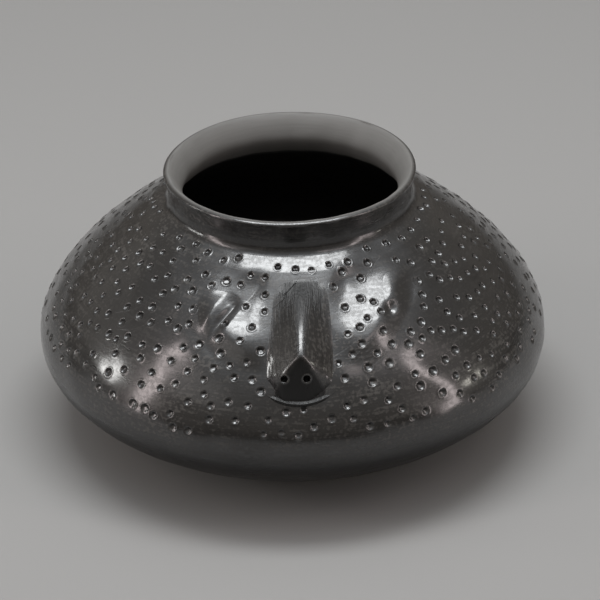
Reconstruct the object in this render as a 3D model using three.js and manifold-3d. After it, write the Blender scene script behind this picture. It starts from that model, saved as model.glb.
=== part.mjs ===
// Effigy jar: a squat coil-built blackware jar with a modelled face on its shoulder.
// Millimetres, +Z up, origin under the centre of the base, the face looks towards -Y.
// Left and right are as seen by someone who looks at the face.
import * as THREE from 'three';
import Module from 'manifold-3d';

const wasm = await Module();
wasm.setup();

// Jar body, outside
const BASE_RADIUS = 45;
const BELLY_RADIUS = 100;
const BELLY_HEIGHT = 39;
const SHOULDER_RISE = 55.8;
const NECK_RADIUS = 47;
const NECK_FILLET = 2.6;
const NECK_FILLET_RISE = 4;
const NECK_RISE = 7.7;
const LIP_FLARE = 1.6;
const LIP_THICKNESS = 3.2;

// Fullness of the curves: lengths of the tangents at base, belly and shoulder
const BASE_SPREAD = 19;
const BASE_LIFT = 7.5;
const BELLY_FULLNESS_BELOW = 20.25;
const BELLY_FULLNESS_ABOVE = 20.25;
const SHOULDER_RUN = 15.8;
const SHOULDER_LIFT = 10.5;

// Clay thickness and luted joints
const WALL = 5;
const NECK_WALL = 5.4;
const FLOOR = 6;
const FLOOR_RADIUS = 25;
const LAP = 5;
const SLIP_FILM = 0.3;

// Nose, in lengths measured along the outside of the shoulder
const NOSE_BELOW_NECK = 6.6;
const NOSE_LENGTH = 50.5;
const NOSE_TIP_UP = 14;
const NOSE_HEIGHT = 8.8;
const NOSE_RISE_FROM = 4;
const NOSE_UPPER_SLOPE = 0.32;
const NOSE_LOWER_SLOPE = 0.2;
const NOSE_WIDTH = 25;
const NOSE_TOP_WIDTH = 21;
const NOSE_FOOT_ASIDE = 1.6;
const NOSE_LEAN = 2.8;
const NOSE_FOOT_CURVE = 3.6;
const NOSE_CUT_LEFT = 7.5;
const NOSE_CUT_RIGHT = 5;
const NOSE_EDGE_ROUNDING = 0.45;
const NOSE_CREST_ROUNDING = 0.2;
const NOSE_FLANK_HOLLOW = 1.25;
const NOSE_TIP_SPARE = 0.8;
const NOSTRIL_RADIUS = 1.3;
const NOSTRIL_DEPTH = 2.2;
const NOSTRIL_SPACING = 8;
const NOSTRIL_ASIDE = 1.7;
const NOSTRIL_UP = 7.4;
const EDGE = 0.35;

// Thumb-pressed eyes. A print leans to the left downwards, by a lean in degrees. Its floor comes
// out of the wall downwards and, with a tilt, to the right. Flat and slope are widths at its sides.
const LEFT_EYE = {
  aside: -18, below: 20.6, lean: 33, depth: 3, tilt: 0, top: 11,
  flatLeft: 2, slopeLeft: 10, flatRight: 3, slopeRight: 11,
};
const RIGHT_EYE = {
  aside: 29, below: 15, lean: 15, depth: 2.4, tilt: 0.12, top: 8,
  flatLeft: 6, slopeLeft: 14, flatRight: 7, slopeRight: 10,
};
const EYE_HEIGHT = 20;
const EYE_ROUNDING = 0.06;

// Raised outer margins of the sockets: place of the middle, lean in degrees, width on the inside
const LEFT_RIDGE = { aside: 31.2, below: 26, lean: 36, inside: 5.5, height: 1.2 };
const RIGHT_RIDGE = { aside: 39.5, below: 23, lean: 16, inside: 6.5, height: 0.7 };
const RIDGE_LENGTH = 26;
const RIDGE_OUTSIDE = 9;
const RIDGE_BOW = 2.5;
const RIDGE_PEAK = 0.48;
const RIDGE_FILM = 0.5;

// Punched marks: size, spacing, the band they fill and how they keep off the face
const MARK_RADIUS = 1.55;
const MARK_DEPTH = 0.95;
const MARK_TILT = 0.5;
const MARK_SPACING = 6;
const MARKS_BELOW_NECK = 1.6;
const MARK_BAND = 73;
const MARK_BAND_WAVER = 3;
const NOSE_CLEARANCE = 1.2;
const FOOT_CLEARANCE = 3;
const MARK_DARTS = 2400;
const MARK_SEED = 11;

// Fineness of the facets
const AROUND = 48;
const FACE_REFINEMENT = 0.4;
const MARK_SIDES = 4;

const NECK_FOOT_RADIUS = NECK_RADIUS + NECK_FILLET;
const NECK_FOOT_HEIGHT = BELLY_HEIGHT + SHOULDER_RISE;
const WAIST_HEIGHT = NECK_FOOT_HEIGHT + NECK_FILLET_RISE;
const LIP_RADIUS = NECK_RADIUS + LIP_FLARE;
const LIP_HEIGHT = WAIST_HEIGHT + NECK_RISE;
const THROAT_RADIUS = NECK_RADIUS - NECK_WALL;

const vec = (r, z) => new THREE.Vector2(r, z);
const bezier = (a, b, c, d) => new THREE.CubicBezierCurve(a, b, c, d);

// The outside of the wall as four curves: below the belly, shoulder, neck fillet, lip flare.
const bellyPoint = vec(BELLY_RADIUS, BELLY_HEIGHT);
const neckFoot = vec(NECK_FOOT_RADIUS, NECK_FOOT_HEIGHT);
const waist = vec(NECK_RADIUS, WAIST_HEIGHT);
const lipOutside = vec(LIP_RADIUS, LIP_HEIGHT);
const shoulderSlope = vec(-SHOULDER_RUN, SHOULDER_LIFT).normalize();
const lower = bezier(
  vec(BASE_RADIUS, 0),
  vec(BASE_RADIUS + BASE_SPREAD, BASE_LIFT),
  vec(BELLY_RADIUS, BELLY_HEIGHT - BELLY_FULLNESS_BELOW),
  bellyPoint,
);
const shoulder = bezier(
  bellyPoint,
  vec(BELLY_RADIUS, BELLY_HEIGHT + BELLY_FULLNESS_ABOVE),
  vec(NECK_FOOT_RADIUS + SHOULDER_RUN, NECK_FOOT_HEIGHT - SHOULDER_LIFT),
  neckFoot,
);
const neck = bezier(
  neckFoot,
  neckFoot.clone().addScaledVector(shoulderSlope, NECK_FILLET * 0.8),
  vec(NECK_RADIUS, WAIST_HEIGHT - NECK_FILLET_RISE * 0.5),
  waist,
);
const flare = bezier(
  waist,
  vec(NECK_RADIUS, WAIST_HEIGHT + NECK_RISE * 0.35),
  vec(LIP_RADIUS - LIP_FLARE * 0.4, LIP_HEIGHT - NECK_RISE * 0.3),
  lipOutside,
);
const OUTSIDE = [lower, shoulder, neck, flare];

const outwards = (curve, t) => {
  const along = curve.getTangent(t);
  return vec(along.y, -along.x);
};

// The inside follows the outside up to the neck, then narrows to the throat and opens to the lip.
const shoulderInside = neckFoot.clone().addScaledVector(outwards(shoulder, 1), -WALL);
const throat = vec(THROAT_RADIUS, WAIST_HEIGHT);
const lipInside = vec(LIP_RADIUS - LIP_THICKNESS, LIP_HEIGHT);
const neckInside = bezier(
  shoulderInside,
  shoulderInside.clone().addScaledVector(shoulderSlope, NECK_FILLET * 0.8),
  vec(THROAT_RADIUS, WAIST_HEIGHT - NECK_FILLET_RISE * 0.6),
  throat,
);
const flareInside = bezier(
  throat,
  vec(THROAT_RADIUS, WAIST_HEIGHT + NECK_RISE * 0.4),
  vec(lipInside.x - NECK_WALL * 0.3, LIP_HEIGHT - NECK_RISE * 0.25),
  lipInside,
);

// A station is a place up the wall: 0 at the base corner, 1 at the belly, 2 at the foot of the
// neck, 3 at the waist of the neck and 4 at the lip.
// Edge of the floor and joints between the courses, as stations up the wall
const FLOOR_EDGE = 0.12;
const DISH_TOP = 0.36;
const LOWER_JOINT = 0.64;
const BELLY_FROM = 0.86;
const BELLY_TO = 1.18;
const SHOULDER_JOINT_1 = 1.44;
const SHOULDER_JOINT_2 = 1.72;
const NECK_FROM = 2.02;
const RIM_FROM = 3.2;

const curveAt = (station) => Math.min(Math.max(Math.floor(station), 0), OUTSIDE.length - 1);
const outer = (station) => {
  const i = curveAt(station);
  return OUTSIDE[i].getPoint(station - i);
};
const normal = (station) => {
  const i = curveAt(station);
  return outwards(OUTSIDE[i], station - i);
};
const inner = (station) => {
  const i = curveAt(station);
  if (i === 2) return neckInside.getPoint(station - i);
  if (i === 3) return flareInside.getPoint(station - i);
  return outer(station).addScaledVector(normal(station), -WALL);
};

// The climb of a station is the length of the outside from the base corner up to it, in mm.
const reach = OUTSIDE.map((curve) => curve.getLength());
const below = reach.map((_, i) => reach.slice(0, i).reduce((sum, length) => sum + length, 0));
const TOTAL_CLIMB = below[3] + reach[3];
const stationAt = (climb) => {
  const bounded = Math.min(Math.max(climb, 0), TOTAL_CLIMB);
  const i = below.findLastIndex((start) => start <= bounded);
  return i + OUTSIDE[i].getUtoTmapping((bounded - below[i]) / reach[i]);
};
const climbOf = (station) => {
  const i = curveAt(station);
  const lengths = OUTSIDE[i].getLengths();
  const at = Math.min(Math.max(station - i, 0), 1) * (lengths.length - 1);
  const step = Math.min(Math.floor(at), lengths.length - 2);
  return below[i] + lengths[step] + (at - step) * (lengths[step + 1] - lengths[step]);
};
const SHOULDER_LENGTH = reach[1];
const shoulderStation = (distance) => stationAt(below[1] + distance);
const shoulderDistance = (station) => climbOf(station) - below[1];

// The smaller of two values, with the corner between them rounded over a width k.
const smoothMin = (a, b, k) => {
  const low = Math.min(a, b);
  return low - k * Math.log(Math.exp((low - a) / k) + Math.exp((low - b) / k));
};
const { degToRad, smoothstep } = THREE.MathUtils;

// Depth of a thumb print: a flat cut, closed by a bell curve over its top and by steps at its sides.
const thumbPrint = (eye, aside, under) => {
  const lean = degToRad(eye.lean);
  const right = aside - eye.aside;
  const down = under - eye.below;
  const along = down * Math.cos(lean) - right * Math.sin(lean);
  const across = right * Math.cos(lean) + down * Math.sin(lean);
  const rise = along / EYE_HEIGHT + (eye.tilt * across) / eye.depth - 1;
  const floor = -smoothMin(rise, 0, EYE_ROUNDING);
  const over = Math.exp(-2 * (Math.max(-along, 0) / eye.top) ** 2);
  const fromLeft = smoothstep(across, -eye.flatLeft - eye.slopeLeft, -eye.flatLeft);
  const toRight = 1 - smoothstep(across, eye.flatRight, eye.flatRight + eye.slopeRight);
  return eye.depth * floor * over * fromLeft * toRight;
};

// How far the thumbs pressed the wall in at an angle from the face line and a station.
const pressed = (angle, station) => {
  const under = SHOULDER_LENGTH - shoulderDistance(station);
  const aside = angle * outer(Math.min(Math.max(station, 1), 2)).x;
  return -thumbPrint(LEFT_EYE, aside, under) - thumbPrint(RIGHT_EYE, aside, under);
};

// A place on the wall lifted along its outward direction, as a point in space.
const spin = (r, z, angle) => new THREE.Vector3(r * Math.sin(angle), -r * Math.cos(angle), z);
const onWall = (angle, station, lift) => {
  const n = normal(station);
  const p = outer(station).addScaledVector(n, pressed(angle, station) + lift);
  return spin(p.x, p.y, angle);
};

// Angles round the jar, closer together at the face.
const angleOf = (i) => {
  const even = -Math.PI + (2 * Math.PI * i) / AROUND;
  return even - FACE_REFINEMENT * Math.sin(even);
};

// Turns a closed profile of {point, station} round the axis and presses the sockets into it.
function turned(profile) {
  const points = profile.map((p) => p.point);
  const geometry = new THREE.LatheGeometry(points, AROUND);
  const position = geometry.attributes.position;
  for (let i = 0; i <= AROUND; i += 1) {
    const angle = angleOf(i % AROUND);
    profile.forEach(({ point, station }, j) => {
      const moved = point.clone();
      if (station !== null) moved.addScaledVector(normal(station), pressed(angle, station));
      const p = spin(moved.x, moved.y, angle);
      position.setXYZ(i * profile.length + j, p.x, p.y, p.z);
    });
  }
  return geometry;
}

const spread = (from, to, steps) =>
  Array.from({ length: steps + 1 }, (_, i) => from + ((to - from) * i) / steps);
const outsideRow = (from, to, steps) =>
  spread(from, to, steps).map((station) => ({ point: outer(station), station }));
const insideRow = (from, to, steps) =>
  spread(from, to, steps).map((station) => ({ point: inner(station), station }));

// The joint between two courses slopes down into the wall by the lap.
const lapped = (station) => stationAt(climbOf(station) - LAP);
const afterFilm = (station) => stationAt(climbOf(station) + SLIP_FILM * Math.hypot(1, LAP / WALL));

// The base dish: flat underneath, with the first of the curved wall.
function dish(top, steps) {
  const rim = outsideRow(0, top, steps);
  const bowl = insideRow(lapped(top), FLOOR_EDGE, steps);
  return turned([
    { point: vec(0, 0), station: null },
    ...rim,
    ...bowl,
    { point: vec(FLOOR_RADIUS, FLOOR), station: null },
    { point: vec(0, FLOOR), station: null },
  ]);
}

// One course of the wall between two joints.
function course(from, to, outsideSteps, insideSteps) {
  const start = afterFilm(from);
  const rows = [
    ...outsideRow(start, to, outsideSteps),
    ...insideRow(lapped(to), lapped(start), insideSteps),
  ];
  return turned([...rows, rows[0]]);
}

// The last course, closed at the top by a rounded lip.
function rim(from, steps) {
  const start = afterFilm(from);
  const middle = lipOutside.clone().add(lipInside).multiplyScalar(0.5);
  const lip = spread(0, Math.PI, 4).map((turn) => ({
    point: vec(
      middle.x + (LIP_THICKNESS / 2) * Math.cos(turn),
      middle.y + (LIP_THICKNESS / 2) * Math.sin(turn),
    ),
    station: null,
  }));
  const rows = [
    ...outsideRow(start, 4, steps).slice(0, -1),
    ...lip,
    ...insideRow(4, lapped(start), steps).slice(1),
  ];
  return turned([...rows, rows[0]]);
}

// Clay laid on the wall: a block bent to the wall, thin at its edges, raised by a height.
// place(p, q) gives {aside, distance} in mm and height(p, q) the rise in mm, p and q from 0 to 1.
function applied(columns, rows, film, place, height) {
  const geometry = new THREE.BoxGeometry(1, 1, 1, columns, rows, 1);
  const position = geometry.attributes.position;
  for (let i = 0; i < position.count; i += 1) {
    const p = position.getX(i) + 0.5;
    const q = position.getY(i) + 0.5;
    const { aside, distance } = place(p, q);
    const station = shoulderStation(distance);
    const angle = aside / outer(station).x;
    const rise = position.getZ(i) > 0 ? EDGE + height(p, q) : 0;
    const at = onWall(angle, station, film + rise);
    position.setXYZ(i, at.x, at.y, at.z);
  }
  return geometry;
}

// Nose: a ridge that rises from under the neck to the tip, cut off by a flat underside.
const NOSE_TOP = SHOULDER_LENGTH - NOSE_BELOW_NECK;
const NOSE_FOOT = NOSE_TOP - NOSE_LENGTH;
const noseLine = (up) => (NOSE_LEAN * up) / NOSE_LENGTH - NOSE_FOOT_ASIDE;
const noseHalfWidth = (share) => {
  const bounded = Math.min(Math.max(share, 0), 1);
  return (NOSE_WIDTH + (NOSE_TOP_WIDTH - NOSE_WIDTH) * bounded ** 2) / 2;
};
const nosePlace = (p, q) => {
  const across = 2 * p - 1;
  const foot = NOSE_FOOT_CURVE * across ** 2;
  const up = foot + (NOSE_LENGTH - foot) * q ** 0.9;
  const aside = noseLine(up) + across * noseHalfWidth(up / NOSE_LENGTH);
  return { aside, distance: NOSE_FOOT + up };
};
const noseCut = (across) =>
  NOSE_CUT_LEFT * smoothstep(-across, 0.1, 1) + NOSE_CUT_RIGHT * smoothstep(across, 0.2, 1);
const noseRidge = (up) => {
  const rise = NOSE_LENGTH - NOSE_RISE_FROM;
  const down = Math.max(rise - up, 0);
  const start = NOSE_HEIGHT + NOSE_TIP_SPARE - NOSE_LOWER_SLOPE * (rise - NOSE_TIP_UP);
  const flatter = start + NOSE_LOWER_SLOPE * down;
  return smoothMin(NOSE_UPPER_SLOPE * down, flatter, NOSE_EDGE_ROUNDING);
};
const noseHeight = (p, q) => {
  const across = 2 * p - 1;
  const up = nosePlace(p, q).distance - NOSE_FOOT;
  const rounded = (x) => Math.hypot(x, NOSE_CREST_ROUNDING) - NOSE_CREST_ROUNDING;
  const inside = Math.max(1 - rounded(across) / rounded(1), 0);
  const flank = noseRidge(up) * inside ** NOSE_FLANK_HOLLOW;
  const slope = (NOSE_HEIGHT + NOSE_TIP_SPARE) / NOSE_TIP_UP;
  return Math.max(smoothMin(flank, slope * (up - noseCut(across)), NOSE_EDGE_ROUNDING), 0);
};
const nosePoint = (offLine, up, lift) => {
  const station = shoulderStation(NOSE_FOOT + up);
  return onWall((noseLine(up) + offLine) / outer(station).x, station, lift);
};

// Blind punch holes for the nostrils, square to the underside of the nose.
function nostril(offLine) {
  const slope = (NOSE_HEIGHT + NOSE_TIP_SPARE) / NOSE_TIP_UP;
  const lift = SLIP_FILM + EDGE + slope * NOSTRIL_UP;
  const mouth = nosePoint(offLine, NOSTRIL_UP, lift);
  const above = nosePoint(offLine, NOSTRIL_UP + 1, lift + slope);
  const upwards = above.sub(mouth).normalize();
  const sideways = new THREE.Vector3(1, 0, 0);
  const inwards = sideways.clone().cross(upwards).normalize();
  const geometry = new THREE.CylinderGeometry(NOSTRIL_RADIUS, NOSTRIL_RADIUS, NOSTRIL_DEPTH * 2, 12);
  const turn = new THREE.Quaternion().setFromUnitVectors(new THREE.Vector3(0, 1, 0), inwards);
  geometry.applyQuaternion(turn);
  geometry.translate(mouth.x, mouth.y, mouth.z);
  return geometry;
}

// Eye ridge: a tapered roll that leans outwards as it comes down, highest near its top, with its
// ends bent in round the eye.
function eyeRidge(side, ridge) {
  const lean = degToRad(ridge.lean);
  const hill = (x) => Math.cos((Math.PI / 2) * x) ** 2;
  const across = (p) => (side < 0 ? 2 * p - 1 : 1 - 2 * p);
  const place = (p, q) => {
    const along = (0.5 - q) * RIDGE_LENGTH;
    const taper = 0.3 + 0.7 * Math.sin(Math.PI * q);
    const width = across(p) > 0 ? ridge.inside : RIDGE_OUTSIDE;
    const inward = across(p) * width * taper + RIDGE_BOW * (2 * q - 1) ** 2;
    const out = along * Math.sin(lean) - inward * Math.cos(lean) + ridge.aside;
    const down = along * Math.cos(lean) + inward * Math.sin(lean) + ridge.below;
    return { aside: side * out, distance: SHOULDER_LENGTH - down };
  };
  const height = (p, q) => {
    const down = 1 - q - RIDGE_PEAK;
    const end = down < 0 ? RIDGE_PEAK : 1 - RIDGE_PEAK;
    return ridge.height * hill(across(p)) * hill(down / end);
  };
  return applied(5, 8, RIDGE_FILM, place, height);
}

// Whether a place on the shoulder lies on the nose or on an eye ridge, where there are no marks.
const onNose = (aside, under) => {
  const up = NOSE_BELOW_NECK + NOSE_LENGTH - under;
  const half = noseHalfWidth(up / NOSE_LENGTH) + NOSE_CLEARANCE;
  return up > -FOOT_CLEARANCE && up < NOSE_LENGTH && Math.abs(aside - noseLine(up)) < half;
};
const onRidge = (aside, under) => {
  const ridge = aside < 0 ? LEFT_RIDGE : RIGHT_RIDGE;
  const lean = degToRad(ridge.lean);
  const out = Math.abs(aside) - ridge.aside;
  const down = under - ridge.below;
  const along = (2 * (out * Math.sin(lean) + down * Math.cos(lean))) / RIDGE_LENGTH;
  const inward = down * Math.sin(lean) - out * Math.cos(lean) - RIDGE_BOW * along ** 2;
  const across = inward / (inward > 0 ? ridge.inside : RIDGE_OUTSIDE);
  return along ** 2 + across ** 2 < 1;
};

// Places of the marks: darts are thrown at the shoulder by a plain multiplying generator, and one
// counts if it misses the face and keeps its distance from the marks before it.
function strewnMarks() {
  const modulus = 2147483647;
  let state = MARK_SEED;
  const draw = () => {
    state = (state * 16807) % modulus;
    return state / modulus;
  };
  const marks = [];
  for (let dart = 0; dart < MARK_DARTS; dart += 1) {
    const angle = Math.PI * (2 * draw() - 1);
    const down = draw();
    const rare = draw();
    const apart = MARK_SPACING * (0.72 + 0.4 * draw());
    const radius = NECK_FOOT_RADIUS + (BELLY_RADIUS - NECK_FOOT_RADIUS) * down ** 0.75;
    const under = MARKS_BELOW_NECK + MARK_BAND * down;
    const waver = 1 + Math.sin(5 * angle + 0.6) * Math.sin(11 * angle);
    const crowded = (mark) => {
      const turn = THREE.MathUtils.euclideanModulo(mark.angle - angle + Math.PI, 2 * Math.PI);
      return Math.hypot((turn - Math.PI) * radius, mark.under - under) < apart;
    };
    const inBand = rare <= radius / BELLY_RADIUS && under <= MARK_BAND - MARK_BAND_WAVER * waver;
    const onFace = onNose(angle * radius, under) || onRidge(angle * radius, under);
    if (inBand && !onFace && !marks.some(crowded)) marks.push({ angle, under });
  }
  return marks;
}
const MARKS = strewnMarks();

// The clay that a mark takes away: a cone bent to the wall, whose point is pushed upwards.
function pit({ angle, under }) {
  const geometry = new THREE.ConeGeometry(2 * MARK_RADIUS, 2 * MARK_DEPTH, MARK_SIDES);
  const position = geometry.attributes.position;
  for (let i = 0; i < position.count; i += 1) {
    const lift = -position.getY(i);
    const rise = position.getZ(i) + (lift < 0 ? MARK_TILT : -MARK_TILT);
    const station = shoulderStation(SHOULDER_LENGTH - under + rise);
    const at = onWall(angle + position.getX(i) / outer(station).x, station, lift);
    position.setXYZ(i, at.x, at.y, at.z);
  }
  return solid(geometry);
}

// A course with the marks that reach into it.
function punched(from, to, outsideSteps, insideSteps) {
  const spare = 2 * MARK_RADIUS;
  const low = SHOULDER_LENGTH - shoulderDistance(from) + spare;
  const high = SHOULDER_LENGTH - shoulderDistance(to) - spare;
  const near = MARKS.filter(({ under }) => under > high && under < low);
  const blank = solid(course(from, to, outsideSteps, insideSteps));
  return geometryOf(wasm.Manifold.difference([blank, ...near.map(pit)]));
}

function solid(geometry) {
  const merged = new Map();
  const vertices = [];
  const position = geometry.attributes.position;
  const renamed = Array.from({ length: position.count }, (_, i) => {
    const xyz = [position.getX(i), position.getY(i), position.getZ(i)];
    const key = xyz.map((value) => Math.round(value * 1e4)).join(' ');
    if (!merged.has(key)) {
      merged.set(key, merged.size);
      vertices.push(...xyz);
    }
    return merged.get(key);
  });
  const triangles = [];
  const index = geometry.index.array;
  for (let i = 0; i < index.length; i += 3) {
    const [a, b, c] = [renamed[index[i]], renamed[index[i + 1]], renamed[index[i + 2]]];
    if (a !== b && b !== c && c !== a) triangles.push(a, b, c);
  }
  return new wasm.Manifold(
    new wasm.Mesh({
      numProp: 3,
      vertProperties: new Float32Array(vertices),
      triVerts: new Uint32Array(triangles),
    }),
  );
}

function geometryOf(body) {
  const mesh = body.getMesh();
  const geometry = new THREE.BufferGeometry();
  geometry.setAttribute('position', new THREE.BufferAttribute(mesh.vertProperties, 3));
  geometry.setIndex(new THREE.BufferAttribute(mesh.triVerts, 1));
  return geometry;
}

function noseGeometry() {
  const blank = solid(applied(12, 12, SLIP_FILM, nosePlace, noseHeight));
  const left = solid(nostril(-NOSTRIL_SPACING / 2 - NOSTRIL_ASIDE));
  const right = solid(nostril(NOSTRIL_SPACING / 2 - NOSTRIL_ASIDE));
  return geometryOf(blank.subtract(left).subtract(right));
}

const part = new THREE.Group();
part.name = 'effigy_jar';

function add(name, geometry, colour, roughness) {
  const material = new THREE.MeshStandardMaterial({ color: colour, roughness });
  geometry.deleteAttribute('uv');
  geometry.computeVertexNormals();
  const mesh = new THREE.Mesh(geometry, material);
  mesh.name = name;
  part.add(mesh);
}

const BURNISHED = 0x17181a;
const SATIN = 0x2b2b2a;

add('base_pad', dish(DISH_TOP, 2), SATIN, 0.6);
add('lower_coil_1', course(DISH_TOP, LOWER_JOINT, 2, 1), BURNISHED, 0.2);
add('lower_coil_2', course(LOWER_JOINT, BELLY_FROM, 2, 1), BURNISHED, 0.2);
add('belly_coil', punched(BELLY_FROM, BELLY_TO, 3, 1), BURNISHED, 0.2);
add('shoulder_coil_1', punched(BELLY_TO, SHOULDER_JOINT_1, 2, 1), BURNISHED, 0.2);
add('shoulder_coil_2', punched(SHOULDER_JOINT_1, SHOULDER_JOINT_2, 4, 1), BURNISHED, 0.2);
add('shoulder_coil_3', punched(SHOULDER_JOINT_2, NECK_FROM, 5, 2), BURNISHED, 0.2);
add('neck_coil', course(NECK_FROM, RIM_FROM, 2, 1), BURNISHED, 0.2);
add('rim_coil', rim(RIM_FROM, 2), SATIN, 0.35);
add('nose', noseGeometry(), BURNISHED, 0.2);
add('left_eye_ridge', eyeRidge(-1, LEFT_RIDGE), BURNISHED, 0.2);
add('right_eye_ridge', eyeRidge(1, RIGHT_RIDGE), BURNISHED, 0.2);

export default part;
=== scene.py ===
"""Effigy jar: a coil-built, burnished black jar with a modelled face and a punched shoulder.

The jar stands on z = 0 with its axis on z, and the face looks along -y. A place on the wall is
given by its climb, the length up the outside from the corner of the base, and by its turn, the
angle round the axis from the middle of the face. Left and right are as seen from the front.
"""

import math

import bpy
import numpy as np
from mathutils import Matrix, Vector


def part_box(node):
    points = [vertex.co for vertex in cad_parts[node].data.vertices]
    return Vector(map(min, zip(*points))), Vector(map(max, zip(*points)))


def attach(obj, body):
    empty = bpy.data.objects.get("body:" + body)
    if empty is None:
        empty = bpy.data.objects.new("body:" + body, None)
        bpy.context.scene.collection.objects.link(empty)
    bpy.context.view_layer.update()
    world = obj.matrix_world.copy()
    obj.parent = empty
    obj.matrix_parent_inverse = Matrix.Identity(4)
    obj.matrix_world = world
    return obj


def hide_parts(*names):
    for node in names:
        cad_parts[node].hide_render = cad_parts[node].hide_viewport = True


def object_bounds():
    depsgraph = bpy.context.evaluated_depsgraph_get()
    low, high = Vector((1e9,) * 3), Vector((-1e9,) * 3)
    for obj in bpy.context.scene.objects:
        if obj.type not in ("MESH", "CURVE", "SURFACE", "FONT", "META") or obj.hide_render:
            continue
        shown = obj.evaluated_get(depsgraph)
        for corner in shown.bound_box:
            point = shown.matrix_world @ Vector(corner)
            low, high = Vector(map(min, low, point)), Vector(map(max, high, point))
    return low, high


bl_info = {
    "name": "Effigy Jar",
    "version": (1, 0, 0),
    "blender": (4, 5, 0),
    "location": "View3D > Sidebar > Effigy Jar",
    "description": "Builds a burnished black jar with a face and a punched shoulder",
    "category": "Add Mesh",
}

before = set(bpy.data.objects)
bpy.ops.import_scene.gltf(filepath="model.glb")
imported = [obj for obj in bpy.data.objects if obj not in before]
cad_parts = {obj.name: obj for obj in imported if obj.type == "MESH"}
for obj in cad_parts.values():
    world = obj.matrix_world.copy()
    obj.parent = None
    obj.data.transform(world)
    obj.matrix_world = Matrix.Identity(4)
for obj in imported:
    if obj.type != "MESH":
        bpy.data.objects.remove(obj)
SOLID_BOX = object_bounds()
MM = 0.001
COURSES = (
    "lower_coil_1",
    "lower_coil_2",
    "belly_coil",
    "shoulder_coil_1",
    "shoulder_coil_2",
    "shoulder_coil_3",
    "neck_coil",
)
ROUND_CLAY = "clay_burnished_round"
DRAWN_CLAY = "clay_burnished_upwards"
INSIDE_WIPE = 0.15

# Polish: where it starts at the belly, and how much of it the neck lacks over the first lengths
POLISH_BELOW_BELLY = 9 * MM
POLISH_OVER_BELLY = 3 * MM
NECK_DULLNESS = 0.4
NECK_DULLING = 3 * MM

# Curves of the section: their steps, and the handles that give their ends a direction
CURVE_STEPS = 400
LIP_STEPS = 20
BASE_HANDLE = (19 * MM, 7.5 * MM)
BELLY_HANDLE = (0, 20.25 * MM)
SHOULDER_HANDLE = 19 * MM
SHOULDER_SLOPE = np.array((-12, 8)) / math.hypot(12, 8)
LIP_LEAN = np.array((0.87, 0.49))

# Waver of the wall: the heights over which its two waves change, and where they fade out
WAVER_RISE = 30 * MM
WAVER_TWIST = 12 * MM
WAVER_FADE_R = (4 * MM, 30 * MM)
WAVER_FADE_Z = (2 * MM, 12 * MM)
WAVE_SEED = 5
TOOL_SEED = 8

# Flats of the eyes: where they fade out below the neck, down the shoulder and beside the nose, how
# far before its highest place a flat starts to fall, and how round its corners are
EYE_TOP = (4 * MM, 14 * MM)
EYE_FOOT = (30 * MM, 48 * MM)
EYE_SIDE = (9 * MM, 19 * MM)
EYE_CREST = 3 * MM
EYE_CORNER = 0.15

# Groove, pit and dent beside the eyes: widths, and where the groove starts and ends. The ledge
# under the neck fades out over a length up the neck
GROOVE_HALF_WIDTH = 4.2 * MM
GROOVE_START = (0.5 * MM, 6.5 * MM)
GROOVE_END = (15 * MM, 25 * MM)
PIT_WIDTH = 1.7 * MM
DENT_WIDTH = 3.5 * MM
LEDGE_FADE = 5 * MM

# Strewing of the marks: room round the nose and under it, the wavy lower end of their band, the
# fine rows under that, the generator, and the ranges of sizes, depths and leans
NOSE_CLEARANCE = 1.2 * MM
FOOT_CLEARANCE = 3 * MM
BAND_WAVER = 3 * MM
BAND_MARGIN = 3 * MM
DART_FACTOR = 16807
DART_MODULUS = 2147483647
MARK_SIZES = (0.8, 1.1)
MARK_DEPTHS = (0.7, 1.15)
MARK_LEANS = (-math.pi / 2, 0.9)

# Mesh of a mark: its rings as shares of its radius, how firmly they pull grid points, and a size
# that no mark reaches
MARK_RINGS = np.array((0, 0.18, 0.36, 0.54, 0.78, 1.02, 1.32))
RING_PULL = 0.85
MARK_SIZE_LIMIT = 1.12

# Nose: slopes and round places of its ridge, what rounding takes off its tip and edges, its cut-off
# foot, the lip under it, and its nostrils. Laid-on pieces sit a little in the wall, their border
# deeper and their back deepest
NOSE_UPPER_SLOPE = 0.32
NOSE_LOWER_SLOPE = 0.2
NOSE_START = 2 * MM
NOSE_TOP_ROUNDING = 2.5 * MM
ROUNDED_START = 4 * MM
NOSE_ARCH = 2.5 * MM
BEND_ROUNDING = 0.3 * MM
TIP_ROUNDING = 0.7 * MM
EDGE_ROUNDING = 0.4 * MM
RIGHT_EDGE_ROUNDING = 0.9 * MM
LEFT_CUT = 7.5 * MM
RIGHT_CUT = 5 * MM
NOSE_LIP_SAG = 3.6 * MM
NOSE_LIP_RISE = 0.62 * MM
NOSE_LIP_WIDTH = 1.6 * MM
NOSE_LIP_END_DROP = 0.7 * MM
RECESS_END_DROP = 0.5 * MM
SEAT = 0.06 * MM
BORDER_DEPTH = 0.4 * MM
NOSE_BACK = 2.5 * MM
EYE_RIDGE_BACK = 2 * MM
NOSTRIL_SHIFT = 1.7 * MM
NOSTRIL_DEPTH = 2.2 * MM
NOSTRIL_LIP = 0.2 * MM

# Fineness of the meshes: columns round the jar, rows up the wall
MARKED_COLUMNS = 1340
PLAIN_COLUMNS = 480
BASE_COLUMNS = 360
RIM_COLUMNS = 720
ROW_SPACING = 0.4 * MM
PLAIN_ROWS = 24
SPARSE_ROWS = 12
INSIDE_ROWS = 10
BASE_RINGS = np.array((0.1, 0.4, 0.7, 0.93, 0.985))
BOWL_FOOT = 3 * MM

# Aim and lens of the camera, and the height that the lamps look at
AIM_ASIDE = 3 * MM
AIM_HEIGHT = 48.2 * MM
LAMP_AIM = 60 * MM
SENSOR_WIDTH = 36
LENS = 182.1


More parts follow.
